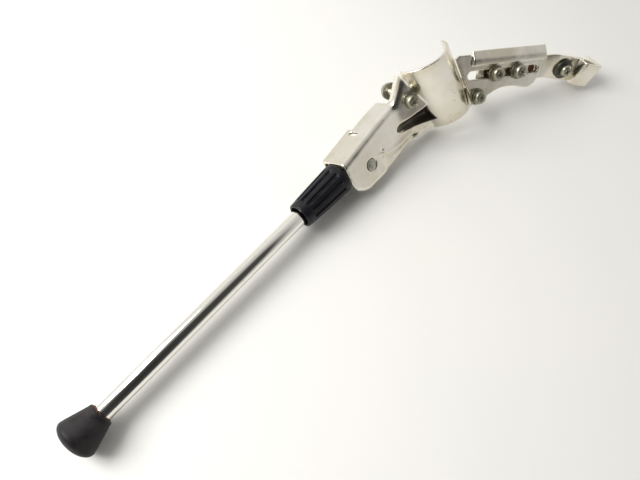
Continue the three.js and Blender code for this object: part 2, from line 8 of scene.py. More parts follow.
import json
import logging
import math
from dataclasses import dataclass
from enum import Enum

import bmesh
import bpy
import numpy as np
from mathutils import Matrix, Vector

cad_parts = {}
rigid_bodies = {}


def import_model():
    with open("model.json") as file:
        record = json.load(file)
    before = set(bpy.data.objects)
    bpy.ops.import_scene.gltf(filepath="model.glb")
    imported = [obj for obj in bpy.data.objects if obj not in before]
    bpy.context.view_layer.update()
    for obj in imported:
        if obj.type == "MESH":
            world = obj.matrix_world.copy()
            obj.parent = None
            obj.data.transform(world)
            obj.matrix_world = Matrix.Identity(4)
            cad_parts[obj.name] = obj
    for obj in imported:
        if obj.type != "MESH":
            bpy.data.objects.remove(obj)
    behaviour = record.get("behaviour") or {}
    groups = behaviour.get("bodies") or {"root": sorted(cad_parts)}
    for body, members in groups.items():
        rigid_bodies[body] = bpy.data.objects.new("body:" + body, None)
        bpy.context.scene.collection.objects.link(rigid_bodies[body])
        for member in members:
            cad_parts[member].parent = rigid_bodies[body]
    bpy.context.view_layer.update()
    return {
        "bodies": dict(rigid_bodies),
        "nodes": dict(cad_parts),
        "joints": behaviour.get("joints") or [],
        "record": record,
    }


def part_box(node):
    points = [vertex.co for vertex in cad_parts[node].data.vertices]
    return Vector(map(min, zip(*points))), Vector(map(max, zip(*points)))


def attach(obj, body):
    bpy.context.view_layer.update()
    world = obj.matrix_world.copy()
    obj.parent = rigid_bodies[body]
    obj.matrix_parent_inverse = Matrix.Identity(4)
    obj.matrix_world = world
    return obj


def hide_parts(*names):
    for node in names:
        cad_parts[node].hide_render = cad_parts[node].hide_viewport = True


log = logging.getLogger("side_stand")
MM = 0.001
WELD_M = 2e-6
EMPTY_EDGE_M = 1e-6
FACE_Z = 14.0
BEND_Y = 45.0
KINK_DEG = 11
CUP_CENTRE_W = 3.3

Triple = tuple[float, float, float]
Shell = tuple[np.ndarray, np.ndarray]  # points and quads
Socket = bpy.types.NodeSocket
Material = bpy.types.Material
Piece = bpy.types.Object


class Body(Enum):
    """The bodies that new pieces ride on."""

    FRAME = "frame"
    LEG = "leg"
    CLAMP = "clamp"
    ARM = "arm"
    HOOK = "hook"
    JAW = "jaw"


class Axis(Enum):
    """The local axis that a profile turns about."""

    Y = "y"
    Z = "z"


# ------------------------------------------------------------------ local frames
@dataclass(frozen=True)
class LocalFrame:
    """A right-handed frame: origin in metres and three unit axes as rows."""

    origin: np.ndarray
    axes: np.ndarray

    def world(self, points: np.ndarray) -> np.ndarray:
        """Carry local millimetres to the shared frame in metres."""
        return self.origin + (points * MM) @ self.axes


def unit(vector: np.ndarray) -> np.ndarray:
    """Scale a vector to length one."""
    return vector / np.linalg.norm(vector)


def unit_rows(rows: np.ndarray) -> np.ndarray:
    """Scale each row to length one."""
    return rows / np.linalg.norm(rows, axis=1, keepdims=True)


@dataclass(frozen=True)
class StandFrames:
    """The frames of the body, the clamp zone, the slotted arm and the hook's end."""

    stand: LocalFrame
    clamp: LocalFrame
    arm: LocalFrame
    end: LocalFrame

    @staticmethod
    def from_record(record: dict) -> "StandFrames":
        """Work the frames out of the joints.

        Args:
            record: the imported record, whose joints give axes and places.

        Returns:
            The four local frames.
        """
        joints = {joint["name"]: joint for joint in record["behaviour"]["joints"]}
        outwards = unit(np.array(joints["leg_fold"]["axis"], float))
        upwards = unit(-np.array(joints["leg_pull"]["axis"], float))
        across = unit(np.cross(upwards, outwards))
        pivot = np.array(joints["leg_fold"]["pos_m"], float)
        stand = LocalFrame(pivot, np.array([across, np.cross(outwards, across), outwards]))
        clamp_out = unit(np.array(joints["chainstay_clamp"]["axis"], float))
        bend = stand.world(np.array([0.0, BEND_Y, FACE_Z]))
        clamp = LocalFrame(bend, np.array([across, np.cross(clamp_out, across), clamp_out]))
        along = unit(np.array(joints["arm_slide"]["axis"], float))
        bolt_b = np.array(joints["arm_swing"]["pos_m"], float)
        arm = LocalFrame(bolt_b, np.array([np.cross(along, clamp_out), along, clamp_out]))
        end_out = unit(np.array(joints["stay_grip"]["axis"], float))
        kink = math.radians(KINK_DEG)
        end_along = math.sin(kink) * arm.axes[0] + math.cos(kink) * arm.axes[1]
        low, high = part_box("cup_washer_e")
        centre = np.array((low + high) / 2)
        end_axes = np.array([np.cross(end_along, end_out), end_along, end_out])
        end = LocalFrame(centre - end_out * CUP_CENTRE_W * MM, end_axes)
        return StandFrames(stand, clamp, arm, end)


# ------------------------------------------------------------------ surface tools
def grid_quads(
    rows: int, columns: int, wrap_rows: bool = False, wrap_columns: bool = False
) -> np.ndarray:
    """Index the quads of a grid of points, row by row, with optional wrapping either way.

    Args:
        rows: count of rows.
        columns: count of columns.
        wrap_rows: join the last row to the first.
        wrap_columns: join the last column to the first.

    Returns:
        Four indices for each quad.
    """
    row = np.arange(rows if wrap_rows else rows - 1)
    column = np.arange(columns if wrap_columns else columns - 1)
    r, c = np.meshgrid(row, column, indexing="ij")
    r2, c2 = (r + 1) % rows, (c + 1) % columns
    corners = [r * columns + c, r * columns + c2, r2 * columns + c2, r2 * columns + c]
    return np.stack(corners, -1).reshape(-1, 4)


def smoothstep(low: float, high: float, x: np.ndarray) -> np.ndarray:
    """Cubic step from 0 at low to 1 at high."""
    t = np.clip((x - low) / (high - low), 0, 1)
    return t * t * (3 - 2 * t)


def smooth_curve(knots: list[tuple[float, ...]], steps: int) -> np.ndarray:
    """Catmull-Rom curve: each span is the usual cubic of its four neighbouring knots.

    Args:
        knots: points the curve goes through.
        steps: points for each span.

    Returns:
        Points along the curve.
    """
    k = np.array(knots, float)
    k = np.vstack([2 * k[0] - k[1], k, 2 * k[-1] - k[-2]])
    t = np.linspace(0, 1, steps, endpoint=False)[None, :, None]
    a, b, c, d = k[:-3, None], k[1:-2, None], k[2:-1, None], k[3:, None]
    square, cube = 2 * a - 5 * b + 4 * c - d, 3 * b - a - 3 * c + d
    cubic = 2 * b + (c - a) * t + square * t**2 + cube * t**3
    return np.vstack([(cubic / 2).reshape(-1, k.shape[1]), k[-2]])


def resample(curve: np.ndarray, count: int, closed: bool = False) -> np.ndarray:
    """Spread points evenly by arc length along a polyline, first point kept.

    Args:
        curve: points of the line.
        count: how many points to give.
        closed: whether the line closes on itself.

    Returns:
        The spread points.
    """
    line = np.vstack([curve, curve[:1]]) if closed else curve
    length = np.concatenate([[0], np.cumsum(np.linalg.norm(np.diff(line, axis=0), axis=1))])
    at = np.linspace(0, length[-1], count, endpoint=not closed)
    return np.stack([np.interp(at, length, line[:, i]) for i in range(line.shape[1])], -1)


def surface_normals(grid: np.ndarray) -> np.ndarray:
    """Unit normals of a grid: the cross product of its two finite-difference tangents."""
    normal = np.cross(np.gradient(grid, axis=0), np.gradient(grid, axis=1))
    return normal / np.maximum(np.linalg.norm(normal, axis=-1, keepdims=True), 1e-9)


def sheet(outer: np.ndarray, thickness: float) -> Shell:
    """Give a surface a wall: outer grid, inner grid moved back along the normals, and their rims.

    Args:
        outer: grid of outer points, rows by columns by 3.
        thickness: wall thickness; its sign chooses the side.

    Returns:
        Points and quads of a closed shell.
    """
    rows, columns = outer.shape[:2]
    inner = outer - surface_normals(outer) * thickness
    loop = np.concatenate([outer, inner[:, ::-1]], axis=1)
    quads = grid_quads(rows, 2 * columns, wrap_columns=True)
    c = np.arange(columns - 1)
    first = np.stack([c, 2 * columns - 1 - c, 2 * columns - 2 - c, c + 1], -1)
    last = first[:, ::-1] + (rows - 1) * 2 * columns
    return loop.reshape(-1, 3), np.vstack([quads, first, last])


def full_turn(sides: int) -> np.ndarray:
    """Angles of one full turn as a row."""
    return np.linspace(0, 2 * np.pi, sides, endpoint=False)[None]


def around(
    radius: np.ndarray, turn: np.ndarray, height: np.ndarray, about: Axis = Axis.Z
) -> np.ndarray:
    """Place points by radius, turn and height about an axis.

    Args:
        radius: distances from the axis.
        turn: angles in radians.
        height: distances along the axis.
        about: the local axis.

    Returns:
        A grid of points.
    """
    height = height + 0 * turn
    if about is Axis.Z:
        return np.stack([radius * np.cos(turn), radius * np.sin(turn), height], -1)
    return np.stack([radius * np.sin(turn), height, radius * np.cos(turn)], -1)


def revolve(profile: np.ndarray, sides: int, about: Axis = Axis.Z) -> Shell:
    """Turn a profile of (radius, height) pairs about an axis.

    Args:
        profile: pairs that start and end on the axis or close on themselves.
        sides: steps round the axis.
        about: the local axis.

    Returns:
        Points and quads.
    """
    points = around(profile[:, :1], full_turn(sides), profile[:, 1:2], about)
    return points.reshape(-1, 3), grid_quads(len(profile), sides, wrap_columns=True)


def rounded(corners: list[tuple[float, float]], radii: list[float], steps: int = 5) -> np.ndarray:
    """Round each inner corner of an open profile with a quadratic curve between its cut points.

    Args:
        corners: points of the profile.
        radii: cut length at each inner corner.
        steps: points for each corner.

    Returns:
        Points of the rounded profile.
    """
    p = np.array(corners, float)
    pieces = [p[:1]]
    for i in range(1, len(p) - 1):
        back, ahead = unit(p[i - 1] - p[i]), unit(p[i + 1] - p[i])
        t = np.linspace(0, 1, steps)[:, None]
        start, stop = p[i] + back * radii[i - 1], p[i] + ahead * radii[i - 1]
        pieces.append((1 - t) ** 2 * start + 2 * t * (1 - t) * p[i] + t**2 * stop)
    return np.vstack([*pieces, p[-1:]])


def place_object(name: str, data: bpy.types.ID) -> Piece:
    """Make an object from its data and link it into the scene.

    Args:
        name: the object's name.
        data: a mesh, a lamp or a camera.

    Returns:
        The object.
    """
    placed = bpy.data.objects.new(name, data)
    bpy.context.scene.collection.objects.link(placed)
    return placed


def make_piece(name: str, points: np.ndarray, quads: np.ndarray, frame: LocalFrame) -> Piece:
    """Put points and quads into a mesh object, weld its seams and turn it outwards.

    Args:
        name: the piece's name.
        points: local points in millimetres.
        quads: their faces.
        frame: the local frame.

    Returns:
        The object.
    """
    mesh = bpy.data.meshes.new(name)
    mesh.from_pydata(frame.world(points).tolist(), [], quads.tolist())
    weld(mesh)
    mesh.shade_smooth()
    return place_object(name, mesh)


def weld(mesh: bpy.types.Mesh) -> None:
    """Merge doubled points, drop empty faces and recalculate the normals.

    Args:
        mesh: the mesh to clean.
    """
    work = bmesh.new()
    work.from_mesh(mesh)
    bmesh.ops.remove_doubles(work, verts=work.verts, dist=WELD_M)
    bmesh.ops.dissolve_degenerate(work, edges=work.edges, dist=EMPTY_EDGE_M)
    bmesh.ops.recalc_face_normals(work, faces=work.faces)
    work.to_mesh(mesh)
    work.free()


def combine(parts: list[Shell]) -> Shell:
    """Stack several shells into one list of points and quads.

    Args:
        parts: the shells.

    Returns:
        One shell.
    """
    offsets = np.cumsum([0, *[len(points) for points, _ in parts[:-1]]])
    quads = np.vstack([q + offset for (_, q), offset in zip(parts, offsets)])
    return np.vstack([points for points, _ in parts]), quads


def settle(piece: Piece) -> Piece:
    """Apply the piece's modifiers to its mesh.

    Args:
        piece: the object.

    Returns:
        The same object.
    """
    graph = bpy.context.evaluated_depsgraph_get()
    baked = bpy.data.meshes.new_from_object(piece.evaluated_get(graph))
    piece.modifiers.clear()
    piece.data = baked
    baked.shade_smooth()
    return piece


def add_remesh(piece: Piece, voxel_mm: float) -> None:
    """Add a remesh that makes one skin of all shells.

    Args:
        piece: the object.
        voxel_mm: size of the cells.
    """
    remesh = piece.modifiers.new("one_skin", "REMESH")
    remesh.mode = "VOXEL"
    remesh.voxel_size = voxel_mm * MM


def add_smooth(piece: Piece, name: str, turns: int, group: str = "") -> None:
    """Add a smoothing that moves points half way to their neighbours' mean.

    Args:
        piece: the object.
        name: the modifier's name.
        turns: how often it repeats.
        group: the points it works on, or all when empty.
    """
    smooth = piece.modifiers.new(name, "SMOOTH")
    smooth.factor = 0.5
    smooth.iterations = turns
    smooth.vertex_group = group


def set_stops(ramp: bpy.types.ColorRamp, stops: list[tuple[float, Triple]]) -> None:
    """Give a colour ramp its stops.

    Args:
        ramp: a new ramp with its two first stops.
        stops: positions and colours in rising order.
    """
    ramp.elements[0].position = stops[0][0]
    ramp.elements[1].position = stops[-1][0]
    for position, _ in stops[1:-1]:
        ramp.elements.new(position)
    for element, (_, colour) in zip(ramp.elements, stops):
        element.color = (*colour, 1)



# ------------------------------------------------------------------ finishes
class Nodes:
    """Small helper that adds and links shader nodes."""

    def __init__(self, name: str) -> None:
        """Make a material with a Principled shader and Object coordinates.

        Args:
            name: the material's name.
        """
        self.material = bpy.data.materials.new(name)
        self.material.use_nodes = True
        self.tree = self.material.node_tree
        self.shader = self.tree.nodes["Principled BSDF"]
        self.coordinates = self.tree.nodes.new("ShaderNodeTexCoord").outputs["Object"]

    def link(self, source: Socket, target: Socket) -> None:
        """Join two sockets."""
        self.tree.links.new(source, target)

    def feed(self, key: str, source: Socket) -> None:
        """Link a socket to a named input of the shader."""
        self.link(source, self.shader.inputs[key])

    def set(self, key: str, value: float) -> None:
        """Set a named input of the shader."""
        self.shader.inputs[key].default_value = value

    def noise(
        self, scale: float, detail: float = 4, stretch: Triple = (1, 1, 1),
        turn: Triple = (0, 0, 0), rough: float = 0.55,
    ) -> Socket:
        """Noise in metres of the object, stretched and turned.

        Args:
            scale: cells for each metre.
            detail: octaves.
            stretch: factors along the axes.
            turn: rotation in radians.
            rough: share of the finer octaves.

        Returns:
            The value.
        """
        mapping = self.tree.nodes.new("ShaderNodeMapping")
        mapping.inputs["Rotation"].default_value = turn
        mapping.inputs["Scale"].default_value = stretch
        self.link(self.coordinates, mapping.inputs["Vector"])
        texture = self.tree.nodes.new("ShaderNodeTexNoise")
        texture.inputs["Scale"].default_value = scale
        texture.inputs["Detail"].default_value = detail
        texture.inputs["Roughness"].default_value = rough
        self.link(mapping.outputs["Vector"], texture.inputs["Vector"])
        return texture.outputs["Fac"]

    def ramp(self, source: Socket, stops: list[tuple[float, Triple]]) -> Socket:
        """Map a value to colours at given stops.

        Args:
            source: the value.
            stops: positions and colours.

        Returns:
            The colour.
        """
        node = self.tree.nodes.new("ShaderNodeValToRGB")
        set_stops(node.color_ramp, stops)
        self.link(source, node.inputs["Fac"])
        return node.outputs["Color"]

    def span(
        self, source: Socket, low: float, high: float, to_low: float, to_high: float
    ) -> Socket:
        """Map a range of values to another, clamped.

        Args:
            source: the value.
            low: start of the range.
            high: end of the range.
            to_low: result at the start.
            to_high: result at the end.

        Returns:
            The mapped value.
        """
        node = self.tree.nodes.new("ShaderNodeMapRange")
        keys = ("From Min", "From Max", "To Min", "To Max")
        for key, value in zip(keys, (low, high, to_low, to_high)):
            node.inputs[key].default_value = value
        self.link(source, node.inputs["Value"])
        return node.outputs["Result"]

    def mix(self, factor: Socket, one: Socket, other: Socket) -> Socket:
        """Blend two colours by a factor.

        Args:
            factor: share of the second colour.
            one: first colour.
            other: second colour.

        Returns:
            The blend.
        """
        node = self.tree.nodes.new("ShaderNodeMix")
        node.data_type = "RGBA"
        self.link(factor, node.inputs[0])
        self.link(one, node.inputs[6])
        self.link(other, node.inputs[7])
        return node.outputs[2]

    def maths(self, operation: str, one: Socket, other: Socket | float) -> Socket:
        """Combine two values.

        Args:
            operation: name of the operation.
            one: first value.
            other: second value.

        Returns:
            The result.
        """
        node = self.tree.nodes.new("ShaderNodeMath")
        node.operation = operation
        self.link(one, node.inputs[0])
        if isinstance(other, (int, float)):
            node.inputs[1].default_value = other
        else:
            self.link(other, node.inputs[1])
        return node.outputs[0]

    def bump(self, height: Socket, strength: float, depth_mm: float) -> None:
        """Add relief from a height, after any relief already there.

        Args:
            height: the height.
            strength: share of the relief.
            depth_mm: its depth.
        """
        node = self.tree.nodes.new("ShaderNodeBump")
        node.inputs["Strength"].default_value = strength
        node.inputs["Distance"].default_value = depth_mm * MM
        self.link(height, node.inputs["Height"])
        if self.shader.inputs["Normal"].is_linked:
            self.link(self.shader.inputs["Normal"].links[0].from_socket, node.inputs["Normal"])
        self.link(node.outputs["Normal"], self.shader.inputs["Normal"])


@dataclass(frozen=True)
class PlatedFinish:
    """Bright plating over pressed steel: clouded, finely scratched, with small pits and specks."""

    name: str = "bright_plated_sheet"
    light: Triple = (0.88, 0.85, 0.77)
    warm: Triple = (0.76, 0.70, 0.57)
    speck: Triple = (0.16, 0.13, 0.09)
    gloss: tuple[float, float] = (0.16, 0.30)
    ripple_mm: float = 0.9
    grain_turn: Triple = (0.2, 0.1, 0.5)

    def build(self) -> Material:
        """Clouds tint the plating, stretched noise scratches it, and sparse specks pit it.

        Returns:
            The material.
        """
        n = Nodes(self.name)
        n.set("Metallic", 1.0)
        clouds = n.noise(28, 3)
        tint = n.ramp(clouds, [(0.38, self.light), (0.68, self.warm)])
        specks = n.span(n.noise(520, 2), 0.68, 0.72, 0, 1)
        patches = n.span(n.noise(60, 2, turn=(1, 2, 0)), 0.50, 0.58, 0, 1)
        spots = n.maths("MULTIPLY", specks, patches)
        dark = n.ramp(spots, [(0.0, self.speck), (1.0, self.speck)])
        n.feed("Base Color", n.mix(spots, tint, dark))
        scratches = n.noise(90, 5, stretch=(1, 14, 14), turn=self.grain_turn)
        fine = n.noise(160, 5, stretch=(12, 1, 12), turn=(0.7, 0.3, 1.1))
        both = n.maths("ADD", n.span(scratches, 0.45, 0.7, 0, 0.6), n.span(fine, 0.5, 0.75, 0, 0.5))
        n.feed("Roughness", n.span(both, 0, 1, *self.gloss))
        n.bump(n.noise(40, 2), 0.55, self.ripple_mm)
        n.bump(n.noise(150, 3), 0.40, 0.14)
        n.bump(both, 0.30, 0.03)
        n.bump(spots, 0.5, -0.15)
        return n.material


@dataclass(frozen=True)
class ChromeFinish:
    """Polished chromed tube with fine lengthwise scratches and a few nicks."""

    name: str = "chromed_tube"
    colour: Triple = (0.90, 0.88, 0.83)
    worn: Triple = (0.66, 0.60, 0.50)
    gloss: tuple[float, float] = (0.05, 0.16)

    def build(self) -> Material:
        """Scratches run along the tube and nicks are sparse spots.

        Returns:
            The material.
        """
        n = Nodes(self.name)
        n.set("Metallic", 1.0)
        along = n.noise(60, 6, stretch=(1, 22, 22), turn=(0, 0.02, -0.21))
        nicks = n.span(n.noise(260, 3), 0.70, 0.76, 0, 1)
        wear = n.maths("MAXIMUM", n.span(along, 0.55, 0.8, 0, 0.6), nicks)
        tint = n.ramp(wear, [(0.0, self.colour), (1.0, self.worn)])
        n.feed("Base Color", tint)
        n.feed("Roughness", n.span(along, 0.35, 0.75, *self.gloss))
        n.bump(along, 0.06, 0.02)
        n.bump(nicks, 0.3, -0.05)
        return n.material


@dataclass(frozen=True)
class ZincFinish:
    """Dull zinc plating, tarnished in blotches and brighter where tools touched it."""

    name: str = "dull_zinc"
    dark: Triple = (0.26, 0.25, 0.19)
    light: Triple = (0.60, 0.58, 0.47)
    gloss: tuple[float, float] = (0.28, 0.55)
    scale: float = 260

    def build(self) -> Material:
        """Two scales of noise mottle colour, gloss and relief.

        Returns:
            The material.
        """
        n = Nodes(self.name)
        n.set("Metallic", 1.0)
        blotches = n.noise(self.scale, 5, rough=0.65)
        n.feed("Base Color", n.ramp(blotches, [(0.32, self.dark), (0.7, self.light)]))
        n.feed("Roughness", n.span(blotches, 0.3, 0.7, self.gloss[1], self.gloss[0]))
        n.bump(n.noise(self.scale * 4, 3), 0.25, 0.06)
        return n.material


@dataclass(frozen=True)
class RustFinish:
    """Brown rust with darker grains."""

    name: str = "rusty_rim"
    dark: Triple = (0.07, 0.022, 0.010)
    light: Triple = (0.27, 0.10, 0.045)

    def build(self) -> Material:
        """Coarse grains of two browns, matt and bumpy.

        Returns:
            The material.
        """
        n = Nodes(self.name)
        n.set("Metallic", 0.2)
        grains = n.noise(900, 5)
        n.feed("Base Color", n.ramp(grains, [(0.35, self.dark), (0.68, self.light)]))
        n.feed("Roughness", n.span(grains, 0.3, 0.7, 0.85, 0.6))
        n.bump(grains, 0.6, 0.15)
        return n.material


@dataclass(frozen=True)
class PlasticFinish:
    """Satin black plastic with a fine moulded grain and faint scuffs."""

    name: str = "black_plastic"
    base: Triple = (0.006, 0.0065, 0.010)
    scuffed: Triple = (0.026, 0.027, 0.034)
    gloss: tuple[float, float] = (0.36, 0.52)

    def build(self) -> Material:
        """Grain bumps the surface, and stretched noise greys the scuffs.

        Returns:
            The material.
        """
        n = Nodes(self.name)
        scuffs = n.span(n.noise(120, 5, stretch=(1, 5, 5)), 0.52, 0.75, 0, 1)
        n.feed("Base Color", n.ramp(scuffs, [(0.0, self.base), (1.0, self.scuffed)]))
        n.feed("Roughness", n.span(scuffs, 0, 1, *self.gloss))
        n.set("Specular IOR Level", 0.28)
        n.bump(n.noise(1800, 2), 0.2, 0.04)
        return n.material


@dataclass(frozen=True)
class RubberFinish:
    """Dusty black rubber, greyer in soft patches."""

    name: str = "dusty_rubber"
    base: Triple = (0.010, 0.009, 0.011)
    dust: Triple = (0.040, 0.036, 0.036)

    def build(self) -> Material:
        """Large soft noise spreads the dust, small noise roughens it.

        Returns:
            The material.
        """
        n = Nodes(self.name)
        dusty = n.span(n.noise(75, 5), 0.42, 0.72, 0, 1)
        n.feed("Base Color", n.ramp(dusty, [(0.0, self.base), (1.0, self.dust)]))
        n.feed("Roughness", n.span(dusty, 0, 1, 0.5, 0.8))
        n.set("Specular IOR Level", 0.25)
        n.bump(n.noise(1300, 3), 0.35, 0.08)
        n.bump(n.noise(160, 3), 0.2, 0.25)
        return n.material


@dataclass(frozen=True)
class SteelFinish:
    """Plain turned steel of the inner pieces, greased and streaked."""

    name: str = "plain_steel"
    dark: Triple = (0.20, 0.19, 0.17)
    light: Triple = (0.55, 0.54, 0.50)

    def build(self) -> Material:
        """Streaks of noise shade colour and gloss.

        Returns:
            The material.
        """
        n = Nodes(self.name)
        n.set("Metallic", 1.0)
        streaks = n.noise(140, 5, stretch=(1, 4, 4))
        n.feed("Base Color", n.ramp(streaks, [(0.3, self.dark), (0.7, self.light)]))
        n.feed("Roughness", n.span(streaks, 0.3, 0.7, 0.5, 0.28))
        n.bump(n.noise(700, 3), 0.2, 0.05)
        return n.material


def dress(piece: Piece, material: Material) -> None:
    """Give a piece one material."""
    piece.data.materials.clear()
    piece.data.materials.append(material)


def report(
    piece: Piece, body: Body, replaced: tuple[str, ...] = ()
) -> None:
    """Ride a new piece on its body, hide the nodes it stands for, and log it.

    Args:
        piece: the object.
        body: the body it rides on.
        replaced: the nodes it stands for.
    """
    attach(piece, body.value)
    if replaced:
        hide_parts(*replaced)
    log.info("%s: %d faces on %s", piece.name, len(piece.data.polygons), body.value)


def complete(
    piece: Piece, material: Material, body: Body,
    replaced: tuple[str, ...] = (), sharp_deg: float = 0.0,
) -> None:
    """Keep a piece's sharp edges, dress it and put it on its body.

    Args:
        piece: the object.
        material: its material.
        body: the body it rides on.
        replaced: the nodes it stands for.
        sharp_deg: edges above this angle stay sharp, or none at 0.
    """
    if sharp_deg:
        piece.data.set_sharp_from_angle(angle=math.radians(sharp_deg))
    dress(piece, material)
    report(piece, body, replaced)


# ------------------------------------------------------------------ pressed body
@dataclass
class PressedBody:
    """The pressed steel body: channel, tongue, side strips, saddle and ear, as one smooth skin."""

    frames: StandFrames
    finish: Material
    face_z: float = FACE_Z
    bend_y: float = BEND_Y
    splay: float = 20.0
    corner: float = 5.6
    roll: float = 4.2
    voxel_mm: float = 0.66
    margin: float = 0.8
    foot_radius: float = 18.6
    foot_y: float = -7.0
    step_mm: float = 1.6
    groove_mm: float = 1.5
    bead_mm: float = 1.2
    dimple_place: tuple[float, float] = (-3.5, 15.7)
    dimple_mm: float = 0.9
    gusset_mm: float = 2.5
    left_knots: tuple = (
        (-18.6, -28.0), (-18.95, -25.0), (-22.5, 0.0), (-25.5, 22.0),
        (-27.8, 43.0), (-38.0, 52.0), (-47.0, 58.4), (-50.0, 60.5),
    )
    right_knots: tuple = (
        (18.6, -5.0), (18.5, 16.0), (16.6, 36.0), (14.6, 52.0), (16.2, 68.0), (22.0, 84.0),
    )
    crease_knots: tuple = (
        (0.2, 12.0), (3.4, 17.0), (5.6, 22.0), (7.2, 28.0), (8.0, 35.0),
        (8.3, 46.0), (9.2, 56.0), (13.3, 69.0), (20.0, 82.0),
    )
    tongue_knots: tuple = (
        (-9.5, 32.0, 12.6), (-9.0, 44.0, 12.6), (-9.2, 58.0, 16.0),
        (-9.4, 70.0, 20.4), (-9.4, 76.5, 22.6),
    )
    strip_knots: tuple = (
        (-5.5, 34.0, 12.0), (-1.5, 43.0, 12.0), (3.0, 56.0, 13.6),
        (6.8, 70.0, 18.6), (11.5, 84.5, 23.6),
    )
    rivet_profile: tuple = (
        (0.0, 0.30), (3.0, 0.30), (3.55, 0.22), (3.8, -0.1),
        (3.9, -0.8), (4.1, -0.9), (4.1, -1.4), (0.0, -1.4),
    )
    bend_flow: tuple = (1.2, (-28, 46, 12), (9, 9, 12))
    corner_flow: tuple = (1.1, (-40, 66, 20), (12, 11, 9))
    valley_flow: tuple = (0.7, (8, 84, 20), (14, 12, 12))

    def left_side(self, x: np.ndarray, y: np.ndarray) -> tuple[np.ndarray, np.ndarray]:
        """Distance in from the left outline and the outline's inward direction there.

        Each point looks up the closest of a dense row of samples; the distance is measured along
        that sample's inward normal.

        Args:
            x: local x.
            y: local y.

        Returns:
            Distances and directions.
        """
        knots = np.array(self.left_knots)
        spans = [np.linspace(p, q, 40, endpoint=False) for p, q in zip(knots[:-1], knots[1:])]
        line = np.vstack(spans)
        tangent = unit_rows(np.gradient(line, axis=0))
        normal = np.stack([tangent[:, 1], -tangent[:, 0]], -1)
        nearest = np.empty(len(x), int)
        for part in np.array_split(np.arange(len(x)), 40):
            gap = (x[part, None] - line[None, :, 0]) ** 2 + (y[part, None] - line[None, :, 1]) ** 2
            nearest[part] = gap.argmin(1)
        inward = normal[nearest]
        away = np.stack([x, y], -1) - line[nearest]
        return (away * inward).sum(1), inward

    def right(self, y: np.ndarray) -> np.ndarray:
        """Outer x of the rolled edge: a circle round the foot end, then a smooth curve.

        Args:
            y: heights along the sheet.

        Returns:
            Outer x at each height.
        """
        circle = np.sqrt(np.maximum(self.foot_radius**2 - (y - self.foot_y) ** 2, 0.0))
        rise = smooth_curve(list(self.right_knots), 12)
        return np.where(y < -6, circle, np.interp(y, rise[:, 1], rise[:, 0]))

    def unbent(self, points: np.ndarray) -> tuple[np.ndarray, np.ndarray, np.ndarray]:
        """Local x, height along the sheet and depth below its face, on both sides of the bend.

        Args:
            points: local points.

        Returns:
            Those three values.
        """
        x, y, z = points.T
        c, s = math.cos(math.radians(self.splay)), math.sin(math.radians(self.splay))
        dy, dz = y - self.bend_y, z - self.face_z
        v, w = dy * c + dz * s, dz * c - dy * s
        above = smoothstep(-4.0, 4.0, (v + dy) / 2)
        return x, self.bend_y + dy * (1 - above) + v * above, -dz * (1 - above) - w * above

    def lower(self, points: np.ndarray, y: np.ndarray, depth: np.ndarray) -> np.ndarray:
        """Move points down the sheet's own normal by a depth.

        Args:
            points: local points.
            y: heights along the sheet.
            depth: how far each goes down.

        Returns:
            The moved points.
        """
        above = smoothstep(self.bend_y - 3, self.bend_y + 3, y)
        angle = np.radians(self.splay) * above
        points = points.copy()
        points[:, 1] += np.sin(angle) * depth
        points[:, 2] -= np.cos(angle) * depth
        return points

    def square_to_round(
        self, side: np.ndarray, depth: np.ndarray, radius: float
    ) -> tuple[np.ndarray, np.ndarray]:
        """Turn square shells about a corner's centre into round ones.

        In the corner's quadrant the larger of the two distances to the centre becomes the radius of
        a circle, so the wall keeps its thickness while its edge becomes a bend.

        Args:
            side: distance in from the side's outer face.
            depth: distance in from the front face.
            radius: bend radius.

        Returns:
            The changed distances.
        """
        a, b = radius - side, radius - depth
        inside = (a > 0) & (b > 0)
        reach = np.maximum(a, b)
        length = np.maximum(np.hypot(a, b), 1e-6)
        new_side = np.where(inside, radius - a * reach / length, side)
        return new_side, np.where(inside, radius - b * reach / length, depth)

    def crease(self, x: np.ndarray, y: np.ndarray) -> np.ndarray:
        """Step down right of the S-shaped crease, with a raised bead along its left side.

        Args:
            x: local x.
            y: height along the sheet.

        Returns:
            Depths, negative on the bead.
        """
        line = smooth_curve(list(self.crease_knots), 10)
        edge = np.interp(y, line[:, 1], line[:, 0])
        strength = smoothstep(11.0, 17.0, y) * (1 - smoothstep(66.0, 84.0, y))
        bead = self.bead_mm * np.exp(-(((x - edge + 2.8) / 2.2) ** 2))
        groove = self.groove_mm * np.exp(-(((x - edge - 0.4) / 1.2) ** 2))
        step = self.step_mm * smoothstep(-1.3, 1.5, x - edge)
        return strength * (step + groove - bead)

    def dimple(self, x: np.ndarray, y: np.ndarray) -> np.ndarray:
        """Small punched dimple: a bell about its place."""
        across, up = self.dimple_place
        return self.dimple_mm * np.exp(-((x - across) ** 2 + (y - up) ** 2) / 1.3)

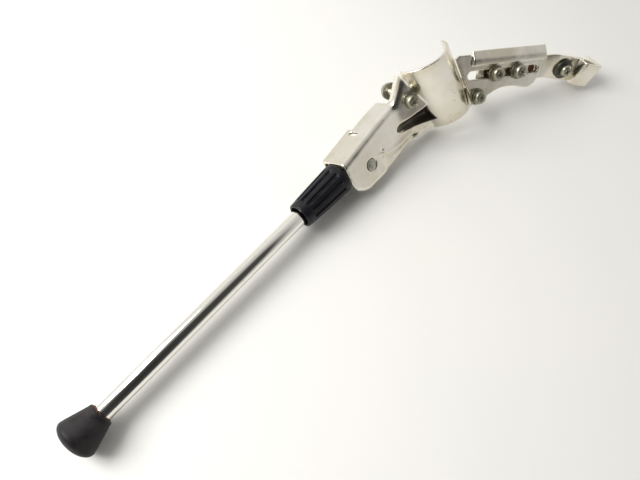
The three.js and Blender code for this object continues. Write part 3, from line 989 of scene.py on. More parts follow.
    def shape(self, points: np.ndarray) -> np.ndarray:
        """Bend the two long corners, then press the crease and the dimple into the front face.

        Args:
            points: local points.

        Returns:
            The shaped points.
        """
        x, y, depth = self.unbent(points)
        side, inward = self.left_side(x, y)
        side2, depth2 = self.square_to_round(side, depth, self.corner)
        near = (side < self.corner) & (side > -self.margin) & (depth > -self.margin)
        push = np.where(near, side2 - side, 0)
        drop = np.where(near, depth2 - depth, 0)
        side = self.right(y) - x
        side3, depth3 = self.square_to_round(side, depth, self.roll)
        edge = (side < self.roll) & (side > -self.margin) & (depth > -self.margin)
        edge = edge & (y > -22) & (y < 82)
        drop = drop + np.where(edge, depth3 - depth, 0)
        front = (1 - smoothstep(2.7, 5.5, depth)) * smoothstep(-1.6, -0.4, depth)
        drop = drop + front * (self.crease(x, y) + self.dimple(x, y))
        points = points.copy()
        points[:, 0] += push * inward[:, 0] - np.where(edge, side3 - side, 0)
        points[:, 1] += push * inward[:, 1]
        return self.lower(points, y, drop)

    def weights(self, points: np.ndarray) -> np.ndarray:
        """How strongly each point is smoothed: most where wing, tongue and saddle flow together.

        Args:
            points: local points.

        Returns:
            Weights from 0 to 1.
        """
        x, y, _ = points.T
        total = np.full(len(points), 0.02)
        for gain, centre, reach in (self.bend_flow, self.corner_flow, self.valley_flow):
            away = ((points - np.array(centre)) / np.array(reach)) ** 2
            total = total + gain * np.exp(-(away[:, 0] + away[:, 1] + away[:, 2]))
        sides = 1 - smoothstep(-9.0, -5.0, x) + 0.3 * smoothstep(9.0, 12.0, x)
        root = np.exp(-(((y - 45.5) / 4.5) ** 2)) * sides
        return np.clip(total + 0.9 * root, 0, 1)

    def bend_gusset(self) -> Shell:
        """Short wall behind the rolled edge, across the bend.

        Rows follow the edge through the bend, and each runs down from the face at half the splay.

        Returns:
            The wall as a shell.
        """
        y = np.linspace(42.0, 48.5, 14)[:, None]
        depth = np.linspace(0.6, 8.8, 12)[None]
        half = math.radians(self.splay / 2)
        rise = math.tan(math.radians(self.splay))
        face = self.face_z + np.maximum(y - self.bend_y, 0) * rise
        x = self.right(y) + 0 * depth
        grid = np.stack([x, y + depth * math.sin(half), face - depth * math.cos(half)], -1)
        points, quads = sheet(grid, self.gusset_mm)
        if points[:, 0].max() > self.right(np.array([self.bend_y]))[0] + 1.5:
            points, quads = sheet(grid, -self.gusset_mm)
        return points, quads

    def build(self, node: Piece) -> None:
        """Remesh the pressed solid into one skin, shape it and let its joints flow together.

        Args:
            node: the pressed solid.
        """
        mesh = node.data.copy()
        points, quads = self.bend_gusset()
        patch = bpy.data.meshes.new("gusset")
        patch.from_pydata(self.frames.stand.world(points).tolist(), [], quads.tolist())
        weld(patch)
        joined = bmesh.new()
        joined.from_mesh(mesh)
        joined.from_mesh(patch)
        joined.to_mesh(mesh)
        joined.free()
        weld(mesh)
        piece = place_object("pressed_body", mesh)
        add_remesh(piece, self.voxel_mm)
        settle(piece)
        stand = self.frames.stand
        flat = np.empty(len(piece.data.vertices) * 3, np.float32)
        piece.data.vertices.foreach_get("co", flat)
        local = (flat.reshape(-1, 3).astype(float) - stand.origin) @ stand.axes.T / MM
        shaped = stand.world(self.shape(local))
        piece.data.vertices.foreach_set("co", shaped.astype(np.float32).ravel())
        group = piece.vertex_groups.new(name="flow")
        weights = np.round(self.weights(local), 1)
        for level in np.unique(weights):
            group.add(np.flatnonzero(weights == level).tolist(), float(level), "REPLACE")
        add_smooth(piece, "flow", 70, "flow")
        add_smooth(piece, "soft_rims", 7)
        settle(piece)
        piece.vertex_groups.clear()
        complete(piece, self.finish, Body.FRAME, ("stand_body",))

    def valley(self, material: Material) -> None:
        """Pressed valley between the tongue and the strip, dressed dark as painted shade of the
        hollow.

        It is ruled from the tongue's edge to the strip's edge, less a trough that is deepest in the
        middle, a half sine across.

        Args:
            material: its finish, a darkened plating that paints the shade of the hollow.
        """
        a = resample(smooth_curve(list(self.tongue_knots), 6), 48)[:, None]
        b = resample(smooth_curve(list(self.strip_knots), 6), 48)[:, None]
        t = np.linspace(0, 1, 22)[None, :, None]
        grid = a * (1 - t) + b * t
        deep = smoothstep(0.0, 0.75, np.linspace(0, 1, 48))[:, None]
        grid[..., 2] -= 0.6 + 6.5 * np.sin(np.pi * t[..., 0]) * deep
        piece = make_piece("pressed_valley", *sheet(grid, 1.0), self.frames.stand)
        complete(piece, material, Body.FRAME)

    def rivet(self, material: Material) -> None:
        """Flat rivet head in a shallow ring, turned about the pivot.

        Args:
            material: its finish.
        """
        points, quads = revolve(np.array(self.rivet_profile), 72)
        raised = points + np.array([0, 0, self.face_z])
        complete(make_piece("rivet_head", raised, quads, self.frames.stand), material, Body.FRAME)


# ------------------------------------------------------------------ leg
@dataclass
class FoldingLeg:
    """Chromed tube, ribbed collar and rubber foot, all round the leg's axis."""

    frames: StandFrames
    tube_finish: Material
    collar_finish: Material
    foot_finish: Material
    axis_x: float = -5.0
    tube_top: float = -31.0
    tube_end: float = -290.0
    collar_top: float = -26.2
    collar_end: float = -75.0
    grooves: int = 12
    tube_radius: float = 7.0
    tube_bore: float = 5.5
    sleeve_radius: float = 7.3
    collar_radius: float = 11.0
    collar_flare: float = 2.9
    collar_sides: int = 240
    lip: float = 1.2
    groove_mm: float = 1.7
    ball_radius: float = 15.3
    ball_y: float = -293.5
    ball_height: float = 7.0
    sides: int = 96

    def on_axis(self, points: np.ndarray) -> np.ndarray:
        """Move points from the y axis to the leg's axis."""
        return points + np.array([self.axis_x, 0.0, 0.0])

    def tube(self) -> None:
        """Tube as a turned closed profile with softened ends."""
        wide, bore, end, top = self.tube_radius, self.tube_bore, self.tube_end, self.tube_top
        profile = np.array([
            (bore, end), (wide - 0.2, end), (wide, end + 0.3), (wide, -200), (wide, -120),
            (wide, top - 0.3), (wide - 0.2, top), (bore, top), (bore, end),
        ])
        points, quads = revolve(profile, self.sides, about=Axis.Y)
        piece = make_piece("chromed_tube", self.on_axis(points), quads, self.frames.stand)
        complete(piece, self.tube_finish, Body.LEG, ("leg_tube",), 60)

    def rounding(self, distance: np.ndarray) -> np.ndarray:
        """Share of a lip's radius that is cut away near an end: a quarter circle."""
        share = 1 - np.clip(distance / self.lip, 0, 1)
        return 1 - np.sqrt(np.clip(1 - share**2, 0, 1))

    def collar(self) -> None:
        """Tapered collar: radius is the taper less a groove term, periodic round the axis.

        The groove term is a smooth trough in angle times a window along the length.
        """
        end, top = self.collar_end, self.collar_top
        y = np.concatenate([
            np.linspace(end, end + self.lip, 5),
            np.linspace(end + 2, top - 2, 70),
            np.linspace(top - self.lip, top, 6),
        ])[:, None]
        turn = full_turn(self.collar_sides)
        share = (y - end) / (top - end)
        taper = self.collar_radius + self.collar_flare * share**0.8
        rim = 0.9 * self.rounding(y - end) + 0.8 * self.rounding(top - y)
        phase = np.abs(np.mod(turn * self.grooves / (2 * np.pi), 1) - 0.5)
        trough = smoothstep(0.20, 0.36, 0.5 - phase + 0 * y)
        window = smoothstep(0.13, 0.17, share) * (1 - smoothstep(0.86, 0.90, share))
        radius = taper - rim - self.groove_mm * trough * window
        outer = around(radius, turn, y, Axis.Y)
        sleeve = self.sleeve_radius
        inside = np.array([
            (11.0, top), (11.0, self.tube_top + 1), (sleeve, self.tube_top + 1),
            (sleeve, end + 3), (9.2, end + 3), (9.2, end),
        ])
        grid = np.concatenate([outer, around(inside[:, :1], turn, inside[:, 1:], Axis.Y)], 0)
        quads = grid_quads(len(grid), self.collar_sides, wrap_rows=True, wrap_columns=True)
        points = self.on_axis(grid.reshape(-1, 3))
        piece = make_piece("ribbed_collar", points, quads, self.frames.stand)
        complete(piece, self.collar_finish, Body.LEG, ("collar",), 55)

    def foot(self) -> None:
        """Rubber foot: a waisted cone that rounds into a dome, with a lip at the tube."""
        a = np.linspace(-90, 8, 22)
        out, up = np.cos(np.radians(a)), np.sin(np.radians(a))
        dome = np.stack([self.ball_radius * out, self.ball_y + self.ball_height * up], -1)
        dome[0, 0] = 0.0
        corners = [tuple(dome[-1]), (14.6, -290.5), (9.7, -275.2), (9.3, -273.1), (7.4, -273.0)]
        side = rounded(corners, [2.0, 1.6, 0.6], 6)
        inner = np.array([(7.3, -273.2), (7.3, -290.3), (0.0, -290.3)])
        profile = np.vstack([dome, side[1:], inner])
        points, quads = revolve(profile, self.sides, about=Axis.Y)
        piece = make_piece("rubber_foot", self.on_axis(points), quads, self.frames.stand)
        complete(piece, self.foot_finish, Body.LEG, ("foot",), 60)

    def rust_ring(self, material: Material) -> None:
        """Thin crust of rust where the tube enters the foot: a turned ring with a wavy edge.

        Args:
            material: the rust.
        """
        turn = full_turn(self.sides)
        wave = 0.5 * np.sin(3 * turn) + 0.35 * np.sin(7 * turn + 1)
        r = np.array([7.02, 7.12, 7.12, 7.02])[:, None] + 0 * turn
        level = np.array([-273.6, -273.6, -272.4, -272.2])[:, None]
        y = level + np.array([0, 0, 1, 1])[:, None] * wave
        grid = around(r, turn, y, Axis.Y)
        quads = grid_quads(4, self.sides, wrap_rows=True, wrap_columns=True)
        points = self.on_axis(grid.reshape(-1, 3))
        complete(make_piece("rust_at_foot", points, quads, self.frames.stand), material, Body.LEG)


# ------------------------------------------------------------------ fasteners
@dataclass
class Fastener:
    """One bolt with its two washers and its nut, on a local axis that points at the head."""

    letter: str
    frame: LocalFrame
    place: tuple[float, float]
    face_w: float
    nut_w: float
    tail: float
    body: Body
    nut_body: Body
    turn: float
    head_radius: float = 6.0
    head_height: float = 4.2
    gap: float = 0.3
    sides: int = 96
    hole_radius: float = 3.3
    apothem: float = 4.93
    pitch_step: float = 0.5

    def at(self, points: np.ndarray, height: float) -> np.ndarray:
        """Turn points about the bolt's axis and lift them to a height.

        Args:
            points: points about the bolt's axis.
            height: place along it.

        Returns:
            Local points.
        """
        c, s = math.cos(self.turn), math.sin(self.turn)
        x, y, z = points.T
        across, up = x * c - y * s + self.place[0], x * s + y * c + self.place[1]
        return np.stack([across, up, z + height], -1)

    def head(self, radius: float, height: float, length: float) -> Shell:
        """Pan head with a cross recess over a threaded shank.

        The head's height over its radius is a rounded pan, less a cross-shaped trough whose depth
        falls off smoothly from its arms; the shank's radius is a triangle wave of the pitch.

        Args:
            radius: radius of the head.
            height: its height.
            length: length of the shank.

        Returns:
            The bolt as a shell.
        """
        crown_r, rim_r = np.linspace(0, radius * 0.62, 26), np.linspace(radius * 0.66, radius, 12)
        r = np.concatenate([crown_r, rim_r])[:, None]
        turn = full_turn(self.sides)
        crown = height * (1 - 0.10 * (r / radius) ** 2)
        past = np.clip((r / radius - 0.60) / 0.40, 0, 1)
        shoulder = (height * 0.62) * (1 - np.sqrt(np.clip(1 - past**2, 0, 1)))
        x, y = r * np.cos(turn), r * np.sin(turn)
        arm = np.minimum(np.abs(x), np.abs(y))
        reach = np.maximum(np.abs(x), np.abs(y))
        ends = 1 - smoothstep(radius * 0.46, radius * 0.58, reach)
        cut = (1 - smoothstep(0.55, 0.95, arm)) * ends
        bowl = 0.5 * (1 - smoothstep(0.0, radius * 0.42, r))
        z = crown - shoulder - 1.9 * cut * (1 - 0.45 * reach / radius) - bowl
        top = np.stack([x, y, z], -1)
        steps = np.arange(0, length - 1.5, self.pitch_step)
        thread = 2.98 - 0.30 * (np.arange(len(steps)) % 2)
        threads = np.stack([thread, -0.6 - steps], -1)
        shank = np.vstack([[(radius - 0.25, 0.0)], threads, [(2.3, -length), (0.0, -length)]])
        grid = np.concatenate([top, around(shank[:, :1], turn, shank[:, 1:])], 0)
        return grid.reshape(-1, 3), grid_quads(len(grid), self.sides, wrap_columns=True)

    def ring(self, radius: float, height: float, soft: float, dish: float = 0.0) -> Shell:
        """Washer: a turned ring with softened edges, dished towards its rim if asked.

        Args:
            radius: outer radius.
            height: thickness.
            soft: rounding.
            dish: drop at the rim.

        Returns:
            The washer as a shell.
        """
        hole, middle = self.hole_radius, height * 0.5
        corners = [
            (hole, middle), (hole, height), (radius * 0.7, height), (radius, height - dish),
            (radius, 0.0), (hole, 0.0), (hole, middle),
        ]
        return revolve(rounded(corners, [soft, 0.8, soft, soft, soft], 4), 72)

    def coil(self, radius: float, height: float) -> Shell:
        """Spring washer: a rounded section carried nearly once round while it rises a little.

        Args:
            radius: outer radius.
            height: thickness.

        Returns:
            The washer as a shell.
        """
        turn = np.linspace(0.12, 2 * np.pi - 0.12, 84)[:, None]
        hole = self.hole_radius
        corners = [
            (hole, 0.8), (hole, 0.0), (radius, 0.0), (radius, height), (hole, height), (hole, 0.82),
        ]
        section = rounded(corners, [0.25] * 4, 4)
        r, h = section[:, 0][None], section[:, 1][None] * 0.86
        rise = 0.12 * height * (turn / np.pi - 1)
        grid = around(r, turn, h + rise + 0.1)
        rows, columns = grid.shape[:2]
        middle = grid.mean(axis=1)
        points = np.vstack([grid.reshape(-1, 3), middle[:1], middle[-1:]])
        c = np.arange(columns)
        ahead, end = (c + 1) % columns, (rows - 1) * columns
        hub = np.full(columns, rows * columns)
        first = np.stack([c, ahead, hub, hub], -1)
        last = np.stack([hub + 1, end + ahead, end + c, end + c], -1)
        return points, np.vstack([grid_quads(rows, columns, wrap_columns=True), first, last])

    def hexagon(self, height: float) -> Shell:
        """Nut: apothem over cosine of the angle from the flat, capped by chamfer cones.

        Args:
            height: thickness.

        Returns:
            The nut as a shell.
        """
        turn = full_turn(144)
        flat = self.apothem / np.cos(np.mod(turn, np.pi / 3) - np.pi / 6)
        z = np.array([
            0.0, 0.0, -0.5, -1.0, -height / 2, -height + 1.0, -height + 0.5, -height, -height, 0.0,
        ])[:, None]
        cap = np.array([3.2, 4.8, 5.15, 9, 9, 9, 5.15, 4.8, 3.2, 3.2])[:, None]
        r = np.minimum(flat, cap)
        return around(r, turn, z).reshape(-1, 3), grid_quads(10, 144, wrap_columns=True)

    def place_piece(
        self, name: str, shape: Shell, height: float, body: Body,
        material: Material, node: str,
    ) -> None:
        """Make one turned piece at a height on the bolt's axis.

        Args:
            name: the piece's name.
            shape: its shell.
            height: place on the axis.
            body: the body it rides on.
            material: its finish.
            node: the node it stands for.
        """
        points, quads = shape
        piece = make_piece(name, self.at(points, height), quads, self.frame)
        complete(piece, material, body, (node,), 48)

    def build(self, material: Material, nut_material: Material) -> None:
        """Stack the flat washer, the spring washer, the bolt and the nut.

        Args:
            material: finish of bolt and washers.
            nut_material: finish of the nut.
        """
        washer_w = self.face_w + self.gap
        spring_w = washer_w + 1.2 + self.gap
        head_w = spring_w + 1.6 + self.gap
        length = head_w - self.nut_w + 5 + self.tail
        screw = self.head(self.head_radius, self.head_height, length)
        stack = (
            ("washer", "flat_washer", self.ring(7.3, 1.2, 0.3), washer_w, self.body, material),
            ("lock_washer", "spring_washer", self.coil(5.6, 1.6), spring_w, self.body, material),
            ("screw", "bolt", screw, head_w, self.body, material),
            ("hex_nut", "nut", self.hexagon(5.0), self.nut_w, self.nut_body, nut_material),
        )
        for name, node, shape, height, body, finish in stack:
            names = f"{name}_{self.letter}", f"{node}_{self.letter}"
            self.place_piece(names[0], shape, height, body, finish, names[1])


# ------------------------------------------------------------------ arms
@dataclass
class SlottedArm:
    """Flat arm with a long slot and a bent flange along its far edge."""

    frames: StandFrames
    finish: Material
    face_w: float = -5.0
    sheet_mm: float = 3.0
    eye_radius: float = 8.4
    slot_q: float = -18.7
    slot_half: float = 3.6
    slot_low: float = -12.3
    slot_high: float = 65.2
    edge_q: float = -29.4
    bend_mm: float = 5.0
    bend_deg: float = 30.0
    flange_mm: float = 7.0

    def outline(self) -> np.ndarray:
        """Outer edge of the arm, counterclockwise from the middle of its right side.

        Returns:
            Points of the edge.
        """
        lobe = np.radians(np.linspace(-10, 66, 14))
        eye = np.stack([self.eye_radius * np.cos(lobe), self.eye_radius * np.sin(lobe)], -1)
        knots = [
            tuple(eye[-1]), (-0.6, 14.6), (-4.6, 25.0), (-5.3, 38.0), (-3.0, 50.0),
            (-2.6, 57.5), (-6.0, 64.5),
        ]
        far = np.array([
            (-22.0, 70.5), (-30.4, 71.3), (-30.4, -7.0), (-36.5, -9.5), (-36.5, -28.2), (3.2, -4.4),
        ])
        return np.vstack([eye, smooth_curve(knots, 8)[1:], far])

    def slot_edge(self, count: int) -> np.ndarray:
        """Edge of the slot: two half circles joined by straight sides, counterclockwise.

        Args:
            count: how many points to give.

        Returns:
            Points of the slot.
        """
        half, middle = self.slot_half, self.slot_q
        low, high = self.slot_low + half, self.slot_high - half
        a = np.radians(np.linspace(0, 180, 24))
        top = np.stack([middle + half * np.cos(a), high + half * np.sin(a)], -1)
        bottom = np.stack([middle - half * np.cos(a), low - half * np.sin(a)], -1)
        return resample(np.vstack([top, bottom]), count, closed=True)

    def plate(self) -> Shell:
        """Plate between slot and outline: rings that blend the two edges, matched by direction.

        Returns:
            The plate as a shell.
        """
        count = 260
        slot = self.slot_edge(count)
        edge = resample(self.outline(), 1200, closed=True)
        spine = np.stack([np.full(count, self.slot_q), np.clip(slot[:, 1], -8.7, 61.6)], -1)
        ray = unit_rows(slot - spine)
        offset = edge[None] - spine[:, None]
        along = (offset * ray[:, None]).sum(-1)
        side = np.abs(offset[..., 0] * ray[:, None, 1] - offset[..., 1] * ray[:, None, 0])
        nearest = np.where(along > 0, side + 0.0005 * along, 1e6).argmin(1)
        outer = edge[nearest]
        shares = np.array([0.0, 0.35, 0.7, 1.0])[:, None, None]
        top = slot * (1 - shares) + outer * shares
        high = np.concatenate([top, np.full((4, count, 1), self.face_w)], -1)
        low = high[::-1] - np.array([0, 0, self.sheet_mm])
        grid = np.concatenate([high, low], 0)
        return grid.reshape(-1, 3), grid_quads(8, count, wrap_rows=True, wrap_columns=True)

    def flange(self) -> Shell:
        """Flange: the flat edge carried round a bend and then straight down at its angle.

        Returns:
            The flange as a shell.
        """
        p = np.linspace(-9.3, 70.5, 40)[:, None]
        turn = np.radians(np.linspace(0, self.bend_deg, 7))
        steep = math.radians(self.bend_deg)
        bend_q = self.edge_q - self.bend_mm * np.sin(turn)
        bend_w = self.face_w - self.bend_mm * (1 - np.cos(turn))
        t = np.linspace(0.15, 1, 6) * self.flange_mm
        q = np.concatenate([[self.edge_q + 2], bend_q, bend_q[-1] - t * math.cos(steep)])[None]
        w = np.concatenate([[self.face_w], bend_w, bend_w[-1] - t * math.sin(steep)])[None]
        grid = np.stack([q + 0 * p, p + 0 * q, w + 0 * p], -1)
        return sheet(grid, -self.sheet_mm)

    def build(self) -> None:
        """Join the plate and the flange into one skin with softened edges."""
        shell = combine([self.plate(), self.flange()])
        piece = make_piece("slotted_plate", *shell, self.frames.arm)
        add_remesh(piece, 0.5)
        add_smooth(piece, "soft_rims", 6)
        settle(piece)
        complete(piece, self.finish, Body.ARM, ("slotted_arm",))


@dataclass
class HookArm:
    """Strip behind the slotted arm that twists and bends into the seatstay hook."""

    frames: StandFrames
    finish: Material
    rust: Material
    sheet_mm: float = 3.0
    strip_w: float = -9.8
    slot_q: float = -18.7
    bend_at: float = 76.0
    bend_length: float = 12.0
    twist_deg: float = 18.0
    lean: float = 0.15
    soft: float = 0.6
    rim_profile: tuple = (
        (0.0, 0.12), (2.4, 0.12), (3.0, 0.35), (3.5, 0.30), (3.7, 0.02), (3.6, -0.2), (0.0, -0.2),
    )

    def strip(self) -> Shell:
        """Rounded rectangle carried along the arm, turning and twisting over its bend.

        Returns:
            The strip as a shell.
        """
        start, stop = self.bend_at, self.bend_at + self.bend_length
        distance = np.concatenate([
            np.linspace(0, start, 30), np.linspace(start + 2, stop, 8), np.linspace(89.5, 105.5, 8),
        ])
        bent = np.clip((distance - start) / self.bend_length, 0, 1)
        turn, twist = np.radians(KINK_DEG) * bent, np.radians(self.twist_deg) * bent
        radius = self.bend_length / np.radians(KINK_DEG)
        before, after = np.minimum(distance, start), np.maximum(distance - stop, 0)
        x = self.slot_q + radius * (1 - np.cos(turn)) + after * np.sin(turn)
        y = 1 + before + radius * np.sin(turn) + after * np.cos(turn)
        centre = np.stack([x, y, np.full_like(x, self.strip_w)], -1)
        ct, st, cw, sw = np.cos(turn), np.sin(turn), np.cos(twist), np.sin(twist)
        side = np.stack([ct * cw, -st * cw, -sw], -1)
        normal = np.stack([ct * sw, -st * sw, cw], -1)
        half = (20 + 3 * smoothstep(start, stop, distance)) / 2
        return self.carry(centre, side, normal, half)

    def carry(
        self, centre: np.ndarray, side: np.ndarray, normal: np.ndarray, half: np.ndarray
    ) -> Shell:
        """Carry a strip section with softened edges: centre plus side and normal parts.

        Args:
            centre: centre line.
            side: direction of the width.
            normal: direction of the thickness.
            half: half widths.

        Returns:
            The strip as a shell.
        """
        h = self.sheet_mm / 2
        soft = self.soft
        a = np.radians(np.linspace(0, 90, 5))
        corner = np.stack([soft * np.cos(a) - soft, soft * np.sin(a) - soft], -1)
        right = np.concatenate([
            np.stack([corner[::-1, 0], corner[::-1, 1] + h], -1),
            np.stack([corner[:, 0], -corner[:, 1] - h], -1),
        ])
        left = np.stack([-right[::-1, 0], right[::-1, 1]], -1)
        reach = np.concatenate([np.full(len(right), 1.0), np.full(len(left), -1.0)])
        offset = np.vstack([right, left])
        x = reach[None] * half[:, None] + offset[None, :, 0]
        y = offset[None, :, 1] + 0 * x
        grid = centre[:, None] + side[:, None] * x[..., None] + normal[:, None] * y[..., None]
        rows, columns = grid.shape[:2]
        quads = grid_quads(rows, columns, wrap_columns=True)
        c = np.arange(columns // 2 - 1)
        cap = np.stack([c, c + 1, columns - 2 - c, columns - 1 - c], -1)
        return grid.reshape(-1, 3), np.vstack([quads, cap, cap[:, ::-1] + (rows - 1) * columns])

    def hook(self) -> Shell:
        """Riser, crown and far wall: one centre line with rounded bends, leaning a little sideways.

        Returns:
            The hook as a shell.
        """
        h = self.sheet_mm / 2
        near, far, crown = 13.5 + h, 35.5 - h, 11.5 - h
        corners = [(5.0, 0.0), (near, 0.0), (near, crown), (far, crown), (far, -9.0)]
        line = rounded(corners, [2.6, 2.6, 2.6], 9)
        line = np.vstack([line[:1], resample(line[1:], 70)])
        tangent = unit_rows(np.gradient(line, axis=0))
        zero = np.zeros(len(line))
        centre = np.stack([zero, line[:, 0], line[:, 1]], -1)
        normal = np.stack([zero, -tangent[:, 1], tangent[:, 0]], -1)
        side = np.tile([1.0, 0.0, 0.0], (len(line), 1))
        points, quads = self.carry(centre, side, normal, np.full(len(line), 11.5))
        points[:, 2] -= self.lean * points[:, 0] * smoothstep(0.5, 2.5, points[:, 2])
        return points, quads

    def spare_hole(self) -> Shell:
        """Rusty rim of the spare hole seen in the slot: a shallow turned dish.

        Returns:
            The dish as a shell.
        """
        points, quads = revolve(np.array(self.rim_profile), 48)
        place = np.array([self.slot_q, 60.0, self.strip_w + self.sheet_mm / 2])
        return points + place, quads

    def build(self) -> None:
        """Make the strip, the hook and the rusty rim."""
        strip = make_piece("hook_strip", *self.strip(), self.frames.arm)
        hook = make_piece("hook_end", *self.hook(), self.frames.end)
        rim = make_piece("spare_hole_rim", *self.spare_hole(), self.frames.arm)
        complete(strip, self.finish, Body.HOOK, ("hook_arm",), 60)
        complete(hook, self.finish, Body.HOOK, (), 60)
        complete(rim, self.rust, Body.HOOK, (), 60)


# ------------------------------------------------------------------ studio
@dataclass
class Studio:
    """Pale table, soft light from the upper left and the camera."""

    frames: StandFrames
    camera_local: Triple = (-219.5, -213.8, 308.6)
    lens_mm: float = 28.125
    view_right: Triple = (0.4167, 0.6517, 0.635)
    view_down: Triple = (0.696, -0.678, 0.239)
    view_forward: Triple = (0.5863, 0.3417, -0.735)
    light_power: float = 13.0
    light_size: float = 0.7
    light_colour: Triple = (1.0, 0.985, 0.96)
    table_colours: tuple[Triple, Triple] = ((0.86, 0.86, 0.84), (0.90, 0.89, 0.86))
    room: tuple = ((0.0, 0.88), (0.30, 0.72), (0.62, 0.50), (0.79, 0.07), (1.0, 0.03))

    def camera(self) -> np.ndarray:
        """Place the camera from the stand's own frame.

        Returns:
            Right, up and forward as rows.
        """
        views = self.view_right, self.view_down, self.view_forward
        right, down, forward = (np.array(view) for view in views)
        axes = np.array([right, -down, -forward]) @ self.frames.stand.axes
        forward_w = unit(-axes[2])
        right_w = unit(np.cross(forward_w, axes[1]))
        up_w = np.cross(right_w, forward_w)
        data = bpy.data.cameras.new("camera")
        data.lens = self.lens_mm
        data.sensor_width = 36.0
        data.clip_start = 0.01
        camera = place_object("camera", data)
        matrix = np.eye(4)
        matrix[:3, :3] = np.array([right_w, up_w, -forward_w]).T
        matrix[:3, 3] = self.frames.stand.world(np.array(self.camera_local))
        camera.matrix_world = Matrix(matrix.tolist())
        bpy.context.scene.camera = camera
        return np.array([right_w, up_w, forward_w])

    def floor(self) -> None:
        """Pale table top with a faint cloudiness."""
        side = np.linspace(-3, 3, 2)
        x, y = np.meshgrid(side, side, indexing="ij")
        points = np.stack([x, y, 0 * x], -1).reshape(-1, 3)
        mesh = bpy.data.meshes.new("table_top")
        mesh.from_pydata(points.tolist(), [], [[0, 2, 3, 1]])
        table = place_object("table_top", mesh)
        n = Nodes("pale_table")
        darker, paler = self.table_colours
        n.feed("Base Color", n.ramp(n.noise(3.0, 3), [(0.3, darker), (0.7, paler)]))
        n.set("Roughness", 0.5)
        mesh.materials.append(n.material)

    def key_light(self, place: np.ndarray, aim: np.ndarray) -> None:
        """Square soft light at a place, turned to face a point.

        Args:
            place: where it stands.
            aim: the point it faces.
        """
        data = bpy.data.lights.new("key_light", "AREA")
        data.size = self.light_size
        data.energy = self.light_power
        data.color = self.light_colour
        lamp = place_object("key_light", data)
        lamp.location = Vector(place)
        lamp.rotation_euler = Vector(aim - place).to_track_quat("-Z", "Y").to_euler()

    def world(self, view: np.ndarray) -> None:
        """Bright room with one darker patch: a soft gradient about a fixed direction.

        Args:
            view: direction of the dark patch.
        """
        world = bpy.data.worlds.new("soft_room")
        world.use_nodes = True
        bpy.context.scene.world = world
        tree = world.node_tree
        background = tree.nodes["Background"]
        coordinates = tree.nodes.new("ShaderNodeTexCoord").outputs["Generated"]
        dot = tree.nodes.new("ShaderNodeVectorMath")
        dot.operation = "DOT_PRODUCT"
        dot.inputs[1].default_value = tuple(view)
        tree.links.new(coordinates, dot.inputs[0])
        ramp = tree.nodes.new("ShaderNodeValToRGB")
        stops = [(place, (value, value * 0.99, value * 0.96)) for place, value in self.room]
        set_stops(ramp.color_ramp, stops)
        tree.links.new(dot.outputs["Value"], ramp.inputs["Fac"])
        tree.links.new(ramp.outputs["Color"], background.inputs["Color"])
        background.inputs["Strength"].default_value = 1.0

    def build(self) -> None:
        """Camera first, then table, lights and room."""
        right, up, forward = self.camera()
        self.floor()
        centre = np.array([0.02, 0.0, 0.02])
        key = centre - right * 0.75 + up * 0.35 - forward * 0.75
        key[2] = max(key[2], 0.75)
        self.key_light(key, centre)
        self.world(unit(-forward + 0.32 * right - 0.32 * up))
        bpy.context.scene.view_settings.view_transform = "Standard"


# ------------------------------------------------------------------ assembly
def dress_inner(nodes: dict, steel: Material, zinc: Material) -> None:
    """Give the kept solids their finishes.

    Args:
        nodes: the kept solids by name.
        steel: finish of the inner pieces.
        zinc: finish of rivet, plate and jaw.
    """
    finishes = {
        "pivot_rivet": zinc, "leg_head": steel, "pull_rod": steel, "leg_spring": steel,
        "tube_pin": steel, "clamp_plate": zinc, "stay_jaw": zinc,
    }
    for name, material in finishes.items():
        node = nodes[name]
        if not node.data.materials:
            node.data.materials.append(material)
        for slot in node.material_slots:
            slot.material = material
        log.info("%s kept with %s", name, material.name)


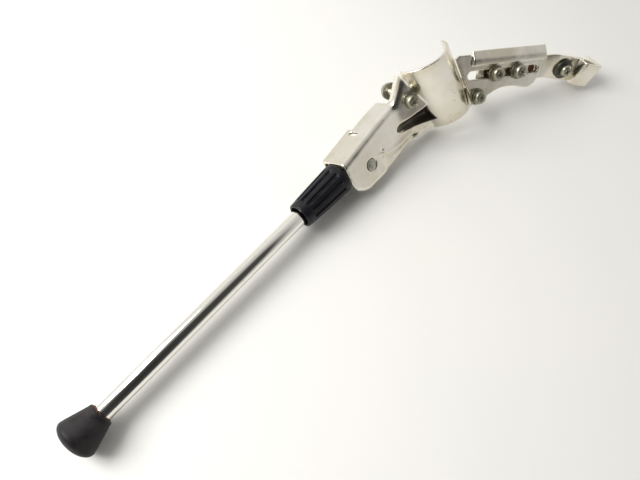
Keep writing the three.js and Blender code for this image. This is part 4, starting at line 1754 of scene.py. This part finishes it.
def main() -> None:
    """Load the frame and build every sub-assembly."""
    logging.basicConfig(level=logging.INFO, format="%(message)s")
    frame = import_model()
    frames = StandFrames.from_record(frame["record"])
    Studio(frames).build()
    plated = PlatedFinish().build()
    # Darkened copy of the plating for the valley: painted shade of the hollow under the tongue.
    shade, deep_shade = (0.20, 0.19, 0.17), (0.10, 0.09, 0.07)
    shaded = PlatedFinish("shaded_plating", shade, deep_shade, gloss=(0.30, 0.5)).build()
    zinc = ZincFinish().build()
    nut_zinc = ZincFinish("nut_zinc", (0.26, 0.25, 0.20), (0.58, 0.57, 0.50)).build()
    soot, dull = (0.045, 0.045, 0.036), (0.20, 0.20, 0.16)
    dark_zinc = ZincFinish("dark_zinc", soot, dull, (0.3, 0.55)).build()
    rust = RustFinish().build()
    steel = SteelFinish().build()
    body = PressedBody(frames, plated)
    body.build(frame["nodes"]["stand_body"])
    body.rivet(nut_zinc)
    body.valley(shaded)
    looks = ChromeFinish(), PlasticFinish(), RubberFinish()
    leg = FoldingLeg(frames, *(look.build() for look in looks))
    leg.tube()
    leg.collar()
    leg.foot()
    leg.rust_ring(rust)
    SlottedArm(frames, plated).build()
    HookArm(frames, plated, rust).build()
    clamp_nut, slide_nut = -37.3, -11.6
    for fastener in (
        Fastener("a", frames.clamp, (-23.0, 15.0), 0.0, clamp_nut, 2, Body.FRAME, Body.CLAMP, 0.35),
        Fastener("b", frames.clamp, (13.5, 78.0), -5.0, clamp_nut, 2, Body.FRAME, Body.CLAMP, 0.9),
        Fastener("c", frames.arm, (-18.7, 16.6), -5.0, slide_nut, 2, Body.HOOK, Body.HOOK, 0.2),
        Fastener("d", frames.arm, (-18.7, 41.2), -5.0, slide_nut, 2, Body.HOOK, Body.HOOK, 1.0),
    ):
        fastener.build(zinc, nut_zinc)
    end = Fastener("e", frames.end, (0.0, 0.0), 1.5, -5.1, 5, Body.HOOK, Body.JAW, 0.6, 5.3)
    head_w, nut_w, nut_height, tail = 5.1, -5.1, 5, 5
    cup = end.ring(9.4, 3.0, 0.5, 0.9)
    screw = end.head(5.3, 4.2, head_w - nut_w + nut_height + tail)
    end.place_piece("cup_e", cup, 1.8, Body.HOOK, dark_zinc, "cup_washer_e")
    end.place_piece("screw_e", screw, head_w, Body.HOOK, zinc, "bolt_e")
    nut = end.hexagon(5.0)
    end.place_piece("hex_nut_e", nut, nut_w, Body.JAW, nut_zinc, "nut_e")
    dress_inner(frame["nodes"], steel, nut_zinc)


if __name__ == "__main__":
    main()
